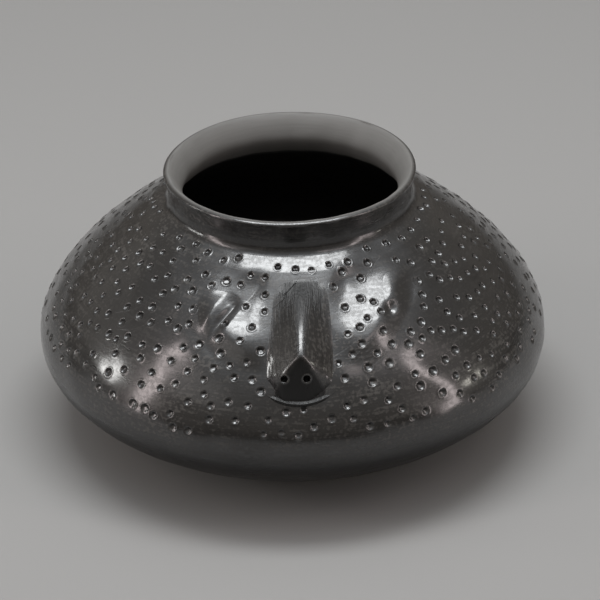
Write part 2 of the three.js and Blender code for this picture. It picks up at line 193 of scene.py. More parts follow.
def length(name, description, default):
    """A length that the user can change, in metres."""
    return bpy.props.FloatProperty(
        name=name, description=description, default=default, subtype="DISTANCE", unit="LENGTH"
    )


def share(name, description, default):
    """A plain number from 0 to 1."""
    return bpy.props.FloatProperty(
        name=name, description=description, default=default, min=0.0, max=1.0, subtype="FACTOR"
    )


def angle(name, description, degrees):
    """An angle that the user can change, given in degrees."""
    return bpy.props.FloatProperty(
        name=name, description=description, default=math.radians(degrees), subtype="ANGLE"
    )


def colour(name, description, default):
    """A colour without alpha."""
    return bpy.props.FloatVectorProperty(
        name=name, description=description, default=default, size=3, min=0, max=1, subtype="COLOR"
    )


class JarWall(bpy.types.PropertyGroup):
    """Sizes of the jar's section."""

    base_radius: length("Base radius", "Radius of the flat underside", 45 * MM)
    belly_radius: length("Belly radius", "Largest radius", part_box("belly_coil")[1].y)
    belly_height: length("Belly height", "Height of the largest radius", 39 * MM)
    shoulder_rise: length("Shoulder rise", "Height from the belly to the neck", 55.8 * MM)
    neck_radius: length("Neck radius", "Radius at the waist of the neck", 47 * MM)
    neck_fillet: length("Neck fillet", "Width of the curve from shoulder to neck", 2.6 * MM)
    neck_fillet_rise: length("Neck fillet rise", "Height of that curve", 4 * MM)
    lip_flare: length("Lip flare", "How far the lip leans out past the waist", 1.6 * MM)
    lip_thickness: length("Lip thickness", "Width of the bevel on the lip", 2.0 * MM)
    lip_bevel: length("Lip bevel", "How far the lip falls from its inner edge", 1.2 * MM)
    ledge: length("Ledge", "Width of the flatter band under the neck", 6.5 * MM)
    ledge_drop: length("Ledge drop", "How far that band sinks towards the neck", 0.55 * MM)
    wall: length("Wall", "Thickness of the wall", 5 * MM)
    neck_wall: length("Neck wall", "Thickness at the throat", 5.4 * MM)
    floor: length("Floor", "Thickness of the base", 6 * MM)
    lap: length("Lap", "Slope of the joints between courses", 5 * MM)
    unevenness: length("Unevenness", "Waver of the hand-built wall", 0.35 * MM)
    facets: length("Facets", "Height of the waves left by the burnishing stone", 0.05 * MM)


class JarFace(bpy.types.PropertyGroup):
    """Sizes of the face, as lengths on the outside of the shoulder."""

    nose_below_neck: length("Nose start", "From the neck down to the top of the nose", 6.6 * MM)
    nose_length: length("Nose length", "From the top of the nose to its foot", 50.5 * MM)
    nose_tip_up: length("Nose tip", "From the foot of the nose up to its tip", 14 * MM)
    nose_height: length("Nose height", "How far the tip stands off the wall", 9.2 * MM)
    nose_width: length("Nose width", "Width at the foot", 25 * MM)
    nose_top_width: length("Nose top width", "Width under the neck", 21 * MM)
    nose_foot_aside: length("Nose foot", "How far left of the face line the foot is", 1.6 * MM)
    nose_lean: length("Nose lean", "How far right of the foot the top is", 2.8 * MM)
    nostril_spacing: length("Nostril spacing", "Between the two nostrils", 8 * MM)
    nostril_up: length("Nostril height", "From the foot of the nose up to the nostrils", 7.4 * MM)
    nostril_radius: length("Nostril radius", "Radius of a nostril", 1.4 * MM)
    left_eye_aside: length("Left eye", "From the face line to its middle", 22 * MM)
    left_eye_below: length("Left eye below", "From the neck to its middle", 21.5 * MM)
    left_eye_lean: angle("Left eye lean", "How far it leans to the left downwards", -50)
    left_eye_height: length("Left eye height", "How far its flat rises downwards", 2.5 * MM)
    left_eye_tilt: angle("Left eye tilt", "How steeply its flat rises outwards", 5)
    left_eye_rise: length("Left eye rise", "From its middle to its flat's highest place", 20 * MM)
    left_eye_fall: length("Left eye fall", "From there back down to the wall", 25 * MM)
    left_eye_inner: length("Left eye inside", "Width of its flat towards the nose", 20 * MM)
    left_eye_outer: length("Left eye outside", "Width of its flat away from the nose", 12 * MM)
    right_eye_aside: length("Right eye", "From the face line to its middle", 27 * MM)
    right_eye_below: length("Right eye below", "From the neck to its middle", 15.5 * MM)
    right_eye_lean: angle("Right eye lean", "How far it leans to the left downwards", 36)
    right_eye_height: length("Right eye height", "How far its flat rises downwards", 0.7 * MM)
    right_eye_tilt: angle("Right eye tilt", "How steeply its flat rises outwards", 6)
    right_eye_rise: length("Right eye rise", "From its middle to its flat's highest place", 25 * MM)
    right_eye_fall: length("Right eye fall", "From there back down to the wall", 10 * MM)
    right_eye_inner: length("Right eye inside", "Width of its flat towards the nose", 10 * MM)
    right_eye_outer: length("Right eye outside", "Width of its flat away from the nose", 10 * MM)
    eye_over: length("Eye top", "Slope over the upper edge of a flat", 13 * MM)
    eye_ease: length("Eye ease", "Slope between the sides of a flat and the wall", 12 * MM)
    eye_depth: length("Eye depth", "Depth of the end of a flat towards the nose", 2.2 * MM)
    socket_depth: length("Socket depth", "Depth of the socket that an eye lies in", 1 * MM)
    socket_width: length("Socket width", "How wide that socket is", 11 * MM)
    groove_aside: length("Groove", "From the face line to the groove left of the left eye", 23 * MM)
    groove_below: length("Groove below", "From the neck to its upper end", 16.1 * MM)
    groove_lean: angle("Groove lean", "How far it leans to the left downwards", 33)
    groove_depth: length("Groove depth", "Depth of that groove", 1.1 * MM)
    dent_aside: length("Dent", "From the face line to the dent right of the right eye", 43.4 * MM)
    dent_below: length("Dent below", "From the neck to that dent", 22 * MM)
    dent_depth: length("Dent depth", "Depth of that dent", 0.7 * MM)
    pit_aside: length("Pit", "From the face line to the pit beside the right eye", 35.3 * MM)
    pit_below: length("Pit below", "From the neck to that pit", 27.6 * MM)
    pit_depth: length("Pit depth", "Depth of that pit", 1.1 * MM)
    left_ridge_aside: length("Left ridge", "From the face line to the middle", 31.2 * MM)
    left_ridge_below: length("Left ridge below", "From the neck to the middle", 26 * MM)
    left_ridge_lean: angle("Left ridge lean", "How far it leans out downwards", 36)
    left_ridge_inner: length("Left ridge inside", "Width of its side towards the eye", 3 * MM)
    left_ridge_height: length("Left ridge height", "Height of its highest place", 1.1 * MM)
    right_ridge_aside: length("Right ridge", "From the face line to the middle", 39.5 * MM)
    right_ridge_below: length("Right ridge below", "From the neck to the middle", 23 * MM)
    right_ridge_lean: angle("Right ridge lean", "How far it leans out downwards", 16)
    right_ridge_inner: length("Right ridge inside", "Width of its side towards the eye", 8 * MM)
    right_ridge_height: length("Right ridge height", "Height of its highest place", 0.4 * MM)
    ridge_length: length("Ridge length", "Length of an eye ridge", 26 * MM)
    ridge_outer: length("Ridge outside", "Width of a ridge's outer side", 11 * MM)
    ridge_bow: length("Ridge bow", "How far the ends bend in round the eye", 2.5 * MM)
    ridge_peak: share("Ridge peak", "Where the highest place is, from top to bottom", 0.48)


class PunchMarks(bpy.types.PropertyGroup):
    """Sizes of the punched marks on the shoulder."""

    radius: length("Mark radius", "Radius of the lip of a mark", 1.55 * MM)
    depth: length("Mark depth", "Depth of a mark at its upper end", 1 * MM)
    lip: length("Mark lip", "Height of the raised lip round a mark", 0.1 * MM)
    spacing: length("Spacing", "Usual distance between neighbours", 6 * MM)
    below_neck: length("Highest mark", "Below the neck, along the wall", 1.6 * MM)
    band: length("Marked band", "From the highest to the lowest mark, along the wall", 73 * MM)
    darts: bpy.props.IntProperty(name="Darts", description="Tries to place a mark", default=6000)
    seed: bpy.props.IntProperty(name="Seed", description="Chooses the scatter", default=11)


class ClayFinish(bpy.types.PropertyGroup):
    """Colours and gloss of the clay."""

    smoked: colour("Smoked clay", "Colour of the burnished outside", (0.004, 0.0038, 0.0036))
    smoked_pale: colour("Paler smoke", "Haze of the less polished strokes", (0.085, 0.08, 0.074))
    wiped: colour("Wiped clay", "Colour of the wiped inside", (0.15, 0.148, 0.141))
    wiped_pale: colour("Paler wipe", "Paler streaks on the inside", (0.22, 0.217, 0.209))
    gloss: share("Roughness of the strokes", "Smallest roughness under the polish", 0.26)
    dull: share("Roughness between strokes", "Largest roughness under the polish", 0.42)
    matt: share("Roughness of the inside", "Roughness of the wiped inside", 0.55)
    polish: share("Polish", "How much polish the dullest strokes keep", 0.55)


class Studio(bpy.types.PropertyGroup):
    """Camera and light."""

    distance: length("Camera distance", "From the jar to the camera", 1.2)
    elevation: angle("Elevation", "How far the camera looks down", 29.35)
    azimuth: angle("Azimuth", "How far right of the face the camera stands", -2.4)
    roll: angle("Roll", "Tilt of the camera", -1.03)
    floor: colour("Floor", "Colour of the floor", (0.35, 0.347, 0.341))


def bezier(a, b, c, d, t):
    """Cubic curve: the four control points, weighted by the Bernstein polynomials of t."""
    a, b, c, d = (np.asarray(point, float) for point in (a, b, c, d))
    t = t[:, None]
    return (1 - t) ** 3 * a + 3 * (1 - t) ** 2 * t * b + 3 * (1 - t) * t**2 * c + t**3 * d


def step(low, high, x):
    """Smooth step: 0 below low, 1 above high, and the cubic 3u^2 - 2u^3 between."""
    u = np.clip((x - low) / (high - low), 0, 1)
    return u * u * (3 - 2 * u)


def bump(x):
    """Round hill: cos^2 of x between -1 and 1, 0 outside."""
    return np.cos(np.clip(x, -1, 1) * math.pi / 2) ** 2


class Wall:
    """Section of the wall: outside, inside and outward direction for every climb."""

    def __init__(self, jar):
        foot_z = jar.belly_height + jar.shoulder_rise
        waist_z = foot_z + jar.neck_fillet_rise
        lip_z = SOLID_BOX[1].z - jar.lip_bevel
        lip_r = jar.neck_radius + jar.lip_flare
        rise = lip_z - waist_z
        base = np.array((jar.base_radius, 0))
        belly = np.array((jar.belly_radius, jar.belly_height))
        foot = np.array((jar.neck_radius + jar.neck_fillet, foot_z))
        waist = np.array((jar.neck_radius, waist_z))
        lip = np.array((lip_r, lip_z))
        before_foot = foot - SHOULDER_SLOPE * SHOULDER_HANDLE
        past_foot = SHOULDER_SLOPE * jar.neck_fillet * 0.8
        before_waist = waist - (0, jar.neck_fillet_rise * 0.5)
        past_waist = waist + (0, rise * 0.35)
        before_lip = lip - (jar.lip_flare * 0.4, rise * 0.3)
        t = np.linspace(0, 1, CURVE_STEPS + 1)
        lower = bezier(base, base + BASE_HANDLE, belly - BELLY_HANDLE, belly, t)
        shoulder = bezier(belly, belly + BELLY_HANDLE, before_foot, foot, t)
        neck = bezier(foot, foot + past_foot, before_waist, waist, t)
        flare = bezier(waist, past_waist, before_lip, lip, t)
        outer = np.vstack((lower[:-1], shoulder[:-1], neck[:-1], flare))
        along = np.gradient(outer, axis=0)
        along /= np.linalg.norm(along, axis=1)[:, None]
        self.normal = np.column_stack((along[:, 1], -along[:, 0]))
        inner = outer - self.normal * jar.wall
        throat = np.array((jar.neck_radius - jar.neck_wall, waist_z))
        self.lip_in = np.array((lip_r - jar.lip_thickness, lip_z + jar.lip_bevel * 0.85))
        start = inner[2 * CURVE_STEPS]
        before_throat = throat - (0, jar.neck_fillet_rise * 0.6)
        past_throat = throat + (0, rise * 0.4)
        before_lip_in = self.lip_in - jar.neck_wall * 0.45 * LIP_LEAN
        neck_in = bezier(start, start + past_foot, before_throat, throat, t)
        flare_in = bezier(throat, past_throat, before_lip_in, self.lip_in, t)
        inner[2 * CURVE_STEPS :] = np.vstack((neck_in[:-1], flare_in))
        crown = jar.lip_thickness * 0.3
        past_lip, before_end = lip + along[-1] * crown, self.lip_in + LIP_LEAN * crown
        self.lip = bezier(lip, past_lip, before_end, self.lip_in, t[:: CURVE_STEPS // LIP_STEPS])
        self.outer = outer
        self.inner = inner
        gaps = np.linalg.norm(np.diff(outer, axis=0), axis=1)
        self.climb = np.concatenate(((0,), np.cumsum(gaps)))
        self.belly = self.climb[CURVE_STEPS]
        self.foot = self.climb[2 * CURVE_STEPS]
        self.top = self.climb[-1]
        self.jar = jar

    def at(self, table, climb):
        """Both columns of a table at a climb, by straight lines between its rows."""
        return np.interp(climb, self.climb, table[:, 0]), np.interp(climb, self.climb, table[:, 1])

    def joint(self, node):
        """Climb of the top of a course, from the height of its solid."""
        return float(np.interp(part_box(node)[1].z, self.outer[:, 1], self.climb))

    def waves(self, climb, turn):
        """Slow random waves: a sum of sines of whole turns and of climb, with drawn directions."""
        dice = np.random.default_rng(WAVE_SEED)
        total = np.zeros(np.broadcast(climb, turn).shape)
        for _ in range(9):
            around, up = dice.integers(-34, 35), dice.uniform(150, 450)
            total += np.sin(around * turn + up * climb + dice.uniform(0, 6.3))
        return total / 2

    def radius(self, climb):
        """Radius of the outside, kept to the shoulder."""
        return self.at(self.outer, np.clip(climb, self.belly, self.foot))[0]


def spin(wall, r, z, turn):
    """Turns a radius and a height round the axis, with the slow waver of a hand-built wall.

    The waver is a wave of two lobes that changes with the height, and half as high a wave of five
    lobes that winds upwards. Both fade out at the underside and towards the axis.
    """
    slow = np.sin(2 * turn + 0.7) * np.sin(z / WAVER_RISE + 0.4)
    waver = wall.jar.unevenness * (slow + 0.5 * np.sin(5 * turn + z / WAVER_TWIST))
    r = r + waver * step(*WAVER_FADE_R, r) * step(*WAVER_FADE_Z, z)
    return np.stack((r * np.sin(turn), -r * np.cos(turn), z + 0 * turn), axis=-1)


def ridge_place(face, side, along, inward):
    """Aside and below of a place on an eye ridge, from its distances along it and in from it.

    The ridge leans outwards as it falls, and its ends bend round the eye as a parabola.
    """
    name = "left" if side < 0 else "right"
    lean = getattr(face, name + "_ridge_lean")
    inward = inward + face.ridge_bow * (2 * along / face.ridge_length) ** 2
    out = along * math.sin(lean) - inward * math.cos(lean)
    down = along * math.cos(lean) + inward * math.sin(lean)
    out = out + getattr(face, name + "_ridge_aside")
    return side * out, down + getattr(face, name + "_ridge_below")


def hollow(aside, below, middle, width):
    """Round hollow: a bell curve of the distances from a middle."""
    u, v = (aside - middle[0]) / width, (below - middle[1]) / width
    return np.exp(-(u * u + v * v) / 2)


def slanted(aside, below, middle, lean):
    """Lengths down and to the right of a middle, along axes that lean to the left downwards."""
    right, down = aside - middle[0], below - middle[1]
    along = down * math.cos(lean) - right * math.sin(lean)
    return along, right * math.cos(lean) + down * math.sin(lean)


def soft_min(a, b, k):
    """The smaller of two values, with the corner between them rounded over a width k."""
    low = np.minimum(a, b)
    return low - k * np.log(np.exp((low - a) / k) + np.exp((low - b) / k))


def eye(face, side, aside, below):
    """Relief of an eye: a slanting flat that starts in a hollow beside the nose.

    The flat rises evenly downwards and outwards, and smooth steps lead it back to the wall. The
    socket round it is a bell curve.
    """
    name = "left_eye_" if side < 0 else "right_eye_"
    parts = ("aside", "below", "lean", "height", "tilt", "rise", "fall", "inner", "outer")
    middle, down, lean, height, tilt, rise, fall, inner, outer = (
        getattr(face, name + part) for part in parts
    )
    along, out = slanted(aside, below, (side * middle, down), lean)
    out = side * out
    flat = height * soft_min(np.clip(along / rise, 0, None), 1 + 0 * along, EYE_CORNER)
    flat = flat - soft_min(-math.tan(tilt) * out, face.eye_depth + 0 * out, EYE_CORNER * MM)
    flat = flat * np.exp(-2 * np.clip(-along / face.eye_over, 0, None) ** 2)
    flat = flat * (1 - step(rise - EYE_CREST, rise + fall, along))
    flat = flat * step(-inner - face.eye_ease, -inner, out)
    flat = flat * (1 - step(outer, outer + face.eye_ease, out))
    flat = flat * step(*EYE_TOP, below) * (1 - step(*EYE_FOOT, below))
    flat = flat * step(*EYE_SIDE, side * aside)
    return flat - face.socket_depth * np.exp(-(along**2 + out**2) / (2 * face.socket_width**2))


def groove(face, aside, below):
    """Depth of the groove left of the left eye: a round hill across, with eased ends."""
    middle = -face.groove_aside, face.groove_below
    along, across = slanted(aside, below, middle, face.groove_lean)
    ends = step(*GROOVE_START, along) * (1 - step(*GROOVE_END, along))
    return face.groove_depth * bump(across / GROOVE_HALF_WIDTH) * ends


def pressed(wall, face, climb, turn):
    """Relief of the bare wall.

    It has the two eyes, a groove beside the left one, a round pit and a dent beside the right one,
    a ledge that falls evenly towards the neck, and the waves that the burnishing stone left.
    """
    jar = wall.jar
    aside = turn * wall.radius(climb)
    below = wall.foot - climb
    eyes = eye(face, -1, aside, below) + eye(face, 1, aside, below)
    pit = groove(face, aside, below)
    for part, width in (("pit", PIT_WIDTH), ("dent", DENT_WIDTH)):
        middle = getattr(face, part + "_aside"), getattr(face, part + "_below")
        pit = pit + getattr(face, part + "_depth") * hollow(aside, below, middle, width)
    ledge = jar.ledge_drop * np.clip(1 - below / jar.ledge, 0, 1)
    ledge = np.where(below < 0, jar.ledge_drop * (1 - step(0, LEDGE_FADE, -below)), ledge)
    return jar.facets * wall.waves(climb, turn) + eyes - pit - ledge


def on_wall(wall, face, climb, turn, lift):
    """A place on the outside, moved along the outward direction by the sockets and a lift."""
    r, z = wall.at(wall.outer, climb)
    nr, nz = wall.at(wall.normal, climb)
    out = pressed(wall, face, climb, turn) + lift
    return spin(wall, r + nr * out, z + nz * out, turn)


def in_wall(wall, face, climb, turn):
    """A place on the inside, pressed in where the outside is."""
    r, z = wall.at(wall.inner, climb)
    nr, nz = wall.at(wall.normal, climb)
    out = pressed(wall, face, climb, turn)
    return spin(wall, r + nr * out, z + nz * out, turn)


def on_nose(face, aside, below):
    """Whether a place on the wall lies under the nose or close to it."""
    up = face.nose_below_neck + face.nose_length - below
    half = nose_half_width(face, up / face.nose_length) + NOSE_CLEARANCE
    return -FOOT_CLEARANCE < up < face.nose_length and abs(aside - nose_line(face, up)) < half


def on_ridge(face, aside, below):
    """Whether a place on the wall lies on an eye ridge: inside its bent oval."""
    side = "left" if aside < 0 else "right"
    lean = getattr(face, side + "_ridge_lean")
    out = abs(aside) - getattr(face, side + "_ridge_aside")
    down = below - getattr(face, side + "_ridge_below")
    along = 2 * (out * math.sin(lean) + down * math.cos(lean)) / face.ridge_length
    inward = down * math.sin(lean) - out * math.cos(lean) - face.ridge_bow * along**2
    across = inward / (getattr(face, side + "_ridge_inner") if inward > 0 else face.ridge_outer)
    return along**2 + across**2 < 1


def scatter(wall, face, punch):
    """Marks strewn by throwing darts: each keeps its own distance from those before it.

    The darts come from the generator that multiplies by 16807 and keeps the rest of a division
    by 2^31 - 1. The circumference grows downwards with the 0.75th power of the way down.
    """
    state = punch.seed

    def draw():
        nonlocal state
        state = state * DART_FACTOR % DART_MODULUS
        return state / DART_MODULUS

    narrow = wall.jar.neck_radius + wall.jar.neck_fillet
    wide = wall.jar.belly_radius
    turns_at, downs = np.zeros(punch.darts), np.zeros(punch.darts)
    count = 0
    for _ in range(punch.darts):
        turn, down = math.pi * (2 * draw() - 1), draw()
        radius = narrow + (wide - narrow) * down**0.75
        rare, apart = draw(), punch.spacing * (0.72 + 0.4 * draw())
        below = punch.below_neck + punch.band * down
        edge = punch.band - BAND_WAVER * (1 + math.sin(5 * turn + 0.6) * math.sin(11 * turn))
        aside = turn * radius
        if rare > radius / wide or below > edge:
            continue
        if on_nose(face, aside, below) or on_ridge(face, aside, below):
            continue
        gap_turn = (turns_at[:count] - turn + math.pi) % (2 * math.pi) - math.pi
        if np.any(np.hypot(gap_turn * radius, downs[:count] - below) < apart):
            continue
        turns_at[count], downs[count] = turn, below
        count += 1
    dice = np.random.default_rng(punch.seed)
    return {
        "climb": wall.foot - downs[:count],
        "turn": turns_at[:count],
        "size": dice.uniform(*MARK_SIZES, count),
        "deep": dice.uniform(*MARK_DEPTHS, count),
        "lean": dice.normal(*MARK_LEANS, count),
    }


def punch_shape(punch, d, angle, deep, lean):
    """Shape of a mark: a cup with a raised lip, whose floor falls upwards to a steep upper wall.

    d is the distance from the middle as a share of the mark's radius.
    """
    lip = punch.lip * bump((d - 1.06) / 0.3) * (1 + 0.6 * np.cos(angle - lean))
    floor = 0.5 + 0.5 * np.clip(d * np.sin(angle) / 0.7, -1, 1)
    cup = (0.45 + 0.55 * floor) * (1 - step(0.62, 0.98, d))
    return lip - punch.depth * deep * cup


def punched(wall, punch, marks, climb, turn):
    """Presses the marks into a grid of the outside.

    Grid points near a mark first move to the nearest of a few rings round its middle, so that the
    mark is round. Returns the moved climb and turn, the lift, and a mask that is 1 on the upper
    wall
    of each hole, which lies in shadow: it carries painted shade there, and a duller, rougher
    finish.
    """
    rings, edge = MARK_RINGS, MARK_RINGS[-1]
    climb, turn = climb.copy(), turn.copy()
    lift, mask = np.zeros_like(climb), np.zeros_like(climb)
    reach = punch.radius * edge * MARK_SIZE_LIMIT
    for row in range(climb.shape[0]):
        c, t = climb[row, 0], turn[row]
        near = np.flatnonzero(np.abs(marks["climb"] - c) < reach)
        if near.size == 0:
            continue
        r = wall.radius(marks["climb"][near])[:, None]
        gap = (t[None, :] - marks["turn"][near][:, None] + math.pi) % (2 * math.pi) - math.pi
        across, up = gap * r, (c - marks["climb"][near])[:, None]
        size = punch.radius * marks["size"][near][:, None]
        d = np.hypot(across, up) / size
        nearest = d.argmin(axis=0)
        column = np.arange(t.size)
        d, k = d[nearest, column], near[nearest]
        inside = d < edge
        across, up = across[nearest, column], np.broadcast_to(up, across.shape)[nearest, column]
        ring = rings[np.abs(d[:, None] - rings[None, :]).argmin(axis=1)]
        ring = np.where((ring == 0) | (ring == edge), d, ring)
        grow = np.where(inside, 1 + RING_PULL * (ring / np.maximum(d, 1e-6) - 1), 1)
        climb[row] = np.where(inside, marks["climb"][k] + up * grow, climb[row])
        moved = marks["turn"][k] + across * grow / r[nearest, 0]
        turn[row] = np.where(inside, moved, t)
        angle = np.arctan2(up, across)
        shape = punch_shape(punch, d * grow, angle, marks["deep"][k], marks["lean"][k])
        lift[row] = np.where(inside, shape, 0)
        # Painted shade: the upper wall of each hole, which lies in shadow, is marked for near-black
        # colour
        upper = step(0.1, 0.6, d * grow * np.sin(angle))
        mask[row] = np.where(inside, upper * (1 - step(0.7, 0.95, d * grow)), 0)
    return climb, turn, lift, mask


def nose_half_width(face, up):
    """Half the width of the nose at a share of its length from foot to top."""
    up = np.clip(up, 0, 1)
    return (face.nose_width + (face.nose_top_width - face.nose_width) * up**2) / 2


def nose_line(face, up):
    """Where the middle of the nose is at a length up from its foot: a slanting straight line."""
    return face.nose_lean * up / face.nose_length - face.nose_foot_aside


def nose_ridge(face, up):
    """Height of the ridge: a steep straight rise down from the top, then a flatter one to the tip.

    A soft minimum joins the two straight lines, and a hyperbola rounds the start of the first.
    """
    down = np.clip(face.nose_length - NOSE_START - up, 0, None)
    down = np.hypot(down, NOSE_TOP_ROUNDING) - NOSE_TOP_ROUNDING
    to_tip = face.nose_length - ROUNDED_START - face.nose_tip_up
    flat = face.nose_height + TIP_ROUNDING - NOSE_LOWER_SLOPE * to_tip
    return soft_min(NOSE_UPPER_SLOPE * down, flat + NOSE_LOWER_SLOPE * down, BEND_ROUNDING)


def nose_foot(face, off_line):
    """Where the underside meets the wall: lowest in the middle, cut off higher up on the left."""
    across = off_line / (face.nose_width / 2)
    return LEFT_CUT * step(0.45, 1, -across) + RIGHT_CUT * step(0.2, 1, across)


def tooled(off_line, up):
    """Small random waves of a tool's edge: a sum of sines in drawn directions."""
    dice = np.random.default_rng(TOOL_SEED)
    total = np.zeros(np.shape(off_line))
    for _ in range(12):
        across, along = dice.normal(0, 2600), dice.normal(0, 420)
        total += np.sin(across * off_line + along * up + dice.uniform(0, 6.3))
    return total / 2.4


def nose_lift(face, off_line, up):
    """Height of the nose over the wall.

    The flanks fall from the ridge. Below the tip a slanting underside, higher at its curved foot,
    cuts them off, and a soft minimum rounds the edge between the two. A raised lip with a gentle
    upper slope and a steep lower one runs along the foot, under a shallow recess.
    """
    length_up = up / face.nose_length
    across = np.abs(off_line) / nose_half_width(face, length_up)
    soft = 0.16 + 0.2 * step(0.35, 0.8, length_up)
    rounded = (np.sqrt(across**2 + soft**2) - soft) / (np.sqrt(1 + soft**2) - soft)
    power = 1.08 + 0.45 * step(0.3, 0.7, length_up)
    flank = nose_ridge(face, up + NOSE_ARCH * across**2) * np.clip(1 - rounded, 0, None) ** power
    above_foot = up - nose_foot(face, off_line)
    under = (face.nose_height + TIP_ROUNDING) / face.nose_tip_up * above_foot
    right = step(0, 0.6 * face.nose_width / 2, off_line)
    body = soft_min(flank, under, EDGE_ROUNDING + RIGHT_EDGE_ROUNDING * right) - SEAT
    body = body + 0.025 * tooled(off_line, up) * step(0.35, 0.85, across) * np.clip(flank, 0, MM)
    below = NOSE_LIP_SAG * (off_line / (face.nose_width / 2)) ** 2 - up
    ends = step(0.68, 0.95, across)
    slope = np.minimum(0.48 * (below + 0.1 * MM), NOSE_LIP_RISE - 1.1 * (below - NOSE_LIP_WIDTH))
    lip = slope - NOSE_LIP_END_DROP * ends
    recess = 0.1 * MM - RECESS_END_DROP * ends - step(0, 1.5 * MM, below) * MM
    recess = recess - step(0, 2 * MM, above_foot) * MM
    return np.maximum(np.maximum(body, lip), np.maximum(recess, -BORDER_DEPTH))


def nostril_distance(face, side, off_line, up):
    """Distance from the middle of a nostril, as a share of its radius."""
    middle = side * face.nostril_spacing / 2 - NOSTRIL_SHIFT
    return np.hypot(off_line - middle, (up - face.nostril_up) * 1.15) / face.nostril_radius


def nostrils(face, off_line, up):
    """Two holes punched in the underside: a steep round hollow with a low lip each."""
    depth = np.zeros_like(off_line)
    for side in (-1, 1):
        d = nostril_distance(face, side, off_line, up)
        depth += NOSTRIL_LIP * bump((d - 1.15) / 0.35) - NOSTRIL_DEPTH * (1 - step(0.45, 1.0, d))
    return depth


def nostril_rims(face, off_line, up):
    """Mask of the polished lips of the nostrils."""
    rims = [bump((nostril_distance(face, side, off_line, up) - 1.1) / 0.5) for side in (-1, 1)]
    return np.maximum(*rims)


def grid_faces(rows, cols, wrap_rows, wrap_cols):
    """Corner numbers of the four-sided faces of a grid that may close on itself either way."""
    index = np.arange(rows * cols).reshape(rows, cols)
    if wrap_rows:
        index = np.vstack((index, index[:1]))
    if wrap_cols:
        index = np.hstack((index, index[:, :1]))
    corners = (index[:-1, :-1], index[:-1, 1:], index[1:, 1:], index[1:, :-1])
    return np.stack(corners, axis=-1).reshape(-1, 4)


def add_piece(name, node, clay, points, faces, masks, crease=None):
    """Makes a mesh object from arrays, shades it smooth and ties it to the frame.

    masks holds a number for each point under the name of each attribute. crease is an array with
    a number for each point: an edge is sharp where its two ends have the same number over 0.
    """
    old = bpy.data.objects.get(name)
    if old is not None:
        bpy.data.objects.remove(old, do_unlink=True)
    mesh = bpy.data.meshes.new(name)
    mesh.from_pydata(points, [], faces)
    mesh.shade_smooth()
    for label, mask in masks.items():
        layer = mesh.attributes.new(label, "FLOAT", "POINT")
        layer.data.foreach_set("value", mask.astype(np.float32).ravel())
    if crease is not None:
        ends = np.empty(len(mesh.edges) * 2, np.int32)
        mesh.edges.foreach_get("vertices", ends)
        ends = crease.ravel()[ends.reshape(-1, 2)]
        sharp = (ends[:, 0] == ends[:, 1]) & (ends[:, 0] > 0)
        layer = mesh.attributes.new("sharp_edge", "BOOLEAN", "EDGE")
        layer.data.foreach_set("value", sharp)
    mesh.validate()
    mesh.update()
    piece = bpy.data.objects.new(name, mesh)
    bpy.context.scene.collection.objects.link(piece)
    mesh.materials.append(clay_material(clay))
    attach(piece, "root")
    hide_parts(node)
    return piece


def turns(count):
    """Evenly spaced angles once round the jar."""
    return np.linspace(-math.pi, math.pi, count, endpoint=False)


def outside_rows(wall, face, punch, marks, climbs, count):
    """Points of the outside on a grid of climbs and turns, with their marks."""
    climb, turn = np.meshgrid(climbs, turns(count), indexing="ij")
    climb, turn, lift, mask = punched(wall, punch, marks, climb, turn)
    return on_wall(wall, face, climb, turn, lift), mask


def plain_rows(wall, face, climbs, count):
    """Points of the outside on a grid of climbs and turns, without marks."""
    climb, turn = np.meshgrid(climbs, turns(count), indexing="ij")
    return on_wall(wall, face, climb, turn, 0)


def inside_rows(wall, face, climbs, count):
    """Points of the inside on a grid of climbs and turns."""
    climb, turn = np.meshgrid(climbs, turns(count), indexing="ij")
    return in_wall(wall, face, climb, turn)


def course_piece(wall, face, punch, marks, node, low, high):
    """One course: outside from joint to joint, sloping joints, and the inside back down."""
    lowest = wall.foot - punch.below_neck - punch.band
    marked = high > lowest and low < wall.foot - 1 * MM
    count = MARKED_COLUMNS if marked else PLAIN_COLUMNS
    if not marked:
        climbs = np.linspace(low, high, PLAIN_ROWS)
    elif low < wall.belly:
        start = lowest - BAND_MARGIN
        fine = np.linspace(start, high, int((high - start) / ROW_SPACING))
        climbs = np.concatenate((np.linspace(low, start, SPARSE_ROWS, endpoint=False), fine))
    else:
        climbs = np.linspace(low, high, int((high - low) / ROW_SPACING))
    outer, mask = outside_rows(wall, face, punch, marks, climbs, count)
    back = np.linspace(high - wall.jar.lap, low - wall.jar.lap, INSIDE_ROWS)
    inner = inside_rows(wall, face, back, count)
    points = np.vstack((outer, inner))
    rows = points.shape[0]
    wiped = np.vstack((np.zeros(mask.shape), np.full(inner.shape[:2], INSIDE_WIPE)))
    polish = np.zeros(wiped.shape)
    shine = step(wall.belly - POLISH_BELOW_BELLY, wall.belly + POLISH_OVER_BELLY, climbs)
    shine = shine * (1 - NECK_DULLNESS * step(wall.foot, wall.foot + NECK_DULLING, climbs))
    polish[: len(climbs)] = shine[:, None]
    mask = np.vstack((mask, np.zeros(inner.shape[:2])))
    crease = np.zeros(mask.shape, int)
    for number, row in enumerate((0, len(climbs) - 1, len(climbs), rows - 1), 1):
        crease[row] = number
    faces = grid_faces(rows, count, True, True)
    # punch carries painted shade on the upper walls of the holes, as well as their duller, rougher
    # finish
    masks = {"punch": mask, "wiped": wiped, "polish": polish}
    return add_piece(
        node + "_clay", node, ROUND_CLAY, points.reshape(-1, 3), faces, masks, crease
    )


def pole_faces(rows, cols, first, last):
    """Faces of a grid closed round its columns, with a fan of triangles to a point at each end."""
    index = np.arange(rows * cols).reshape(rows, cols)
    low = np.column_stack((np.roll(index[0], -1), index[0], np.full(cols, first)))
    high = np.column_stack((index[-1], np.roll(index[-1], -1), np.full(cols, last)))
    return grid_faces(rows, cols, False, True).tolist() + low.tolist() + high.tolist()


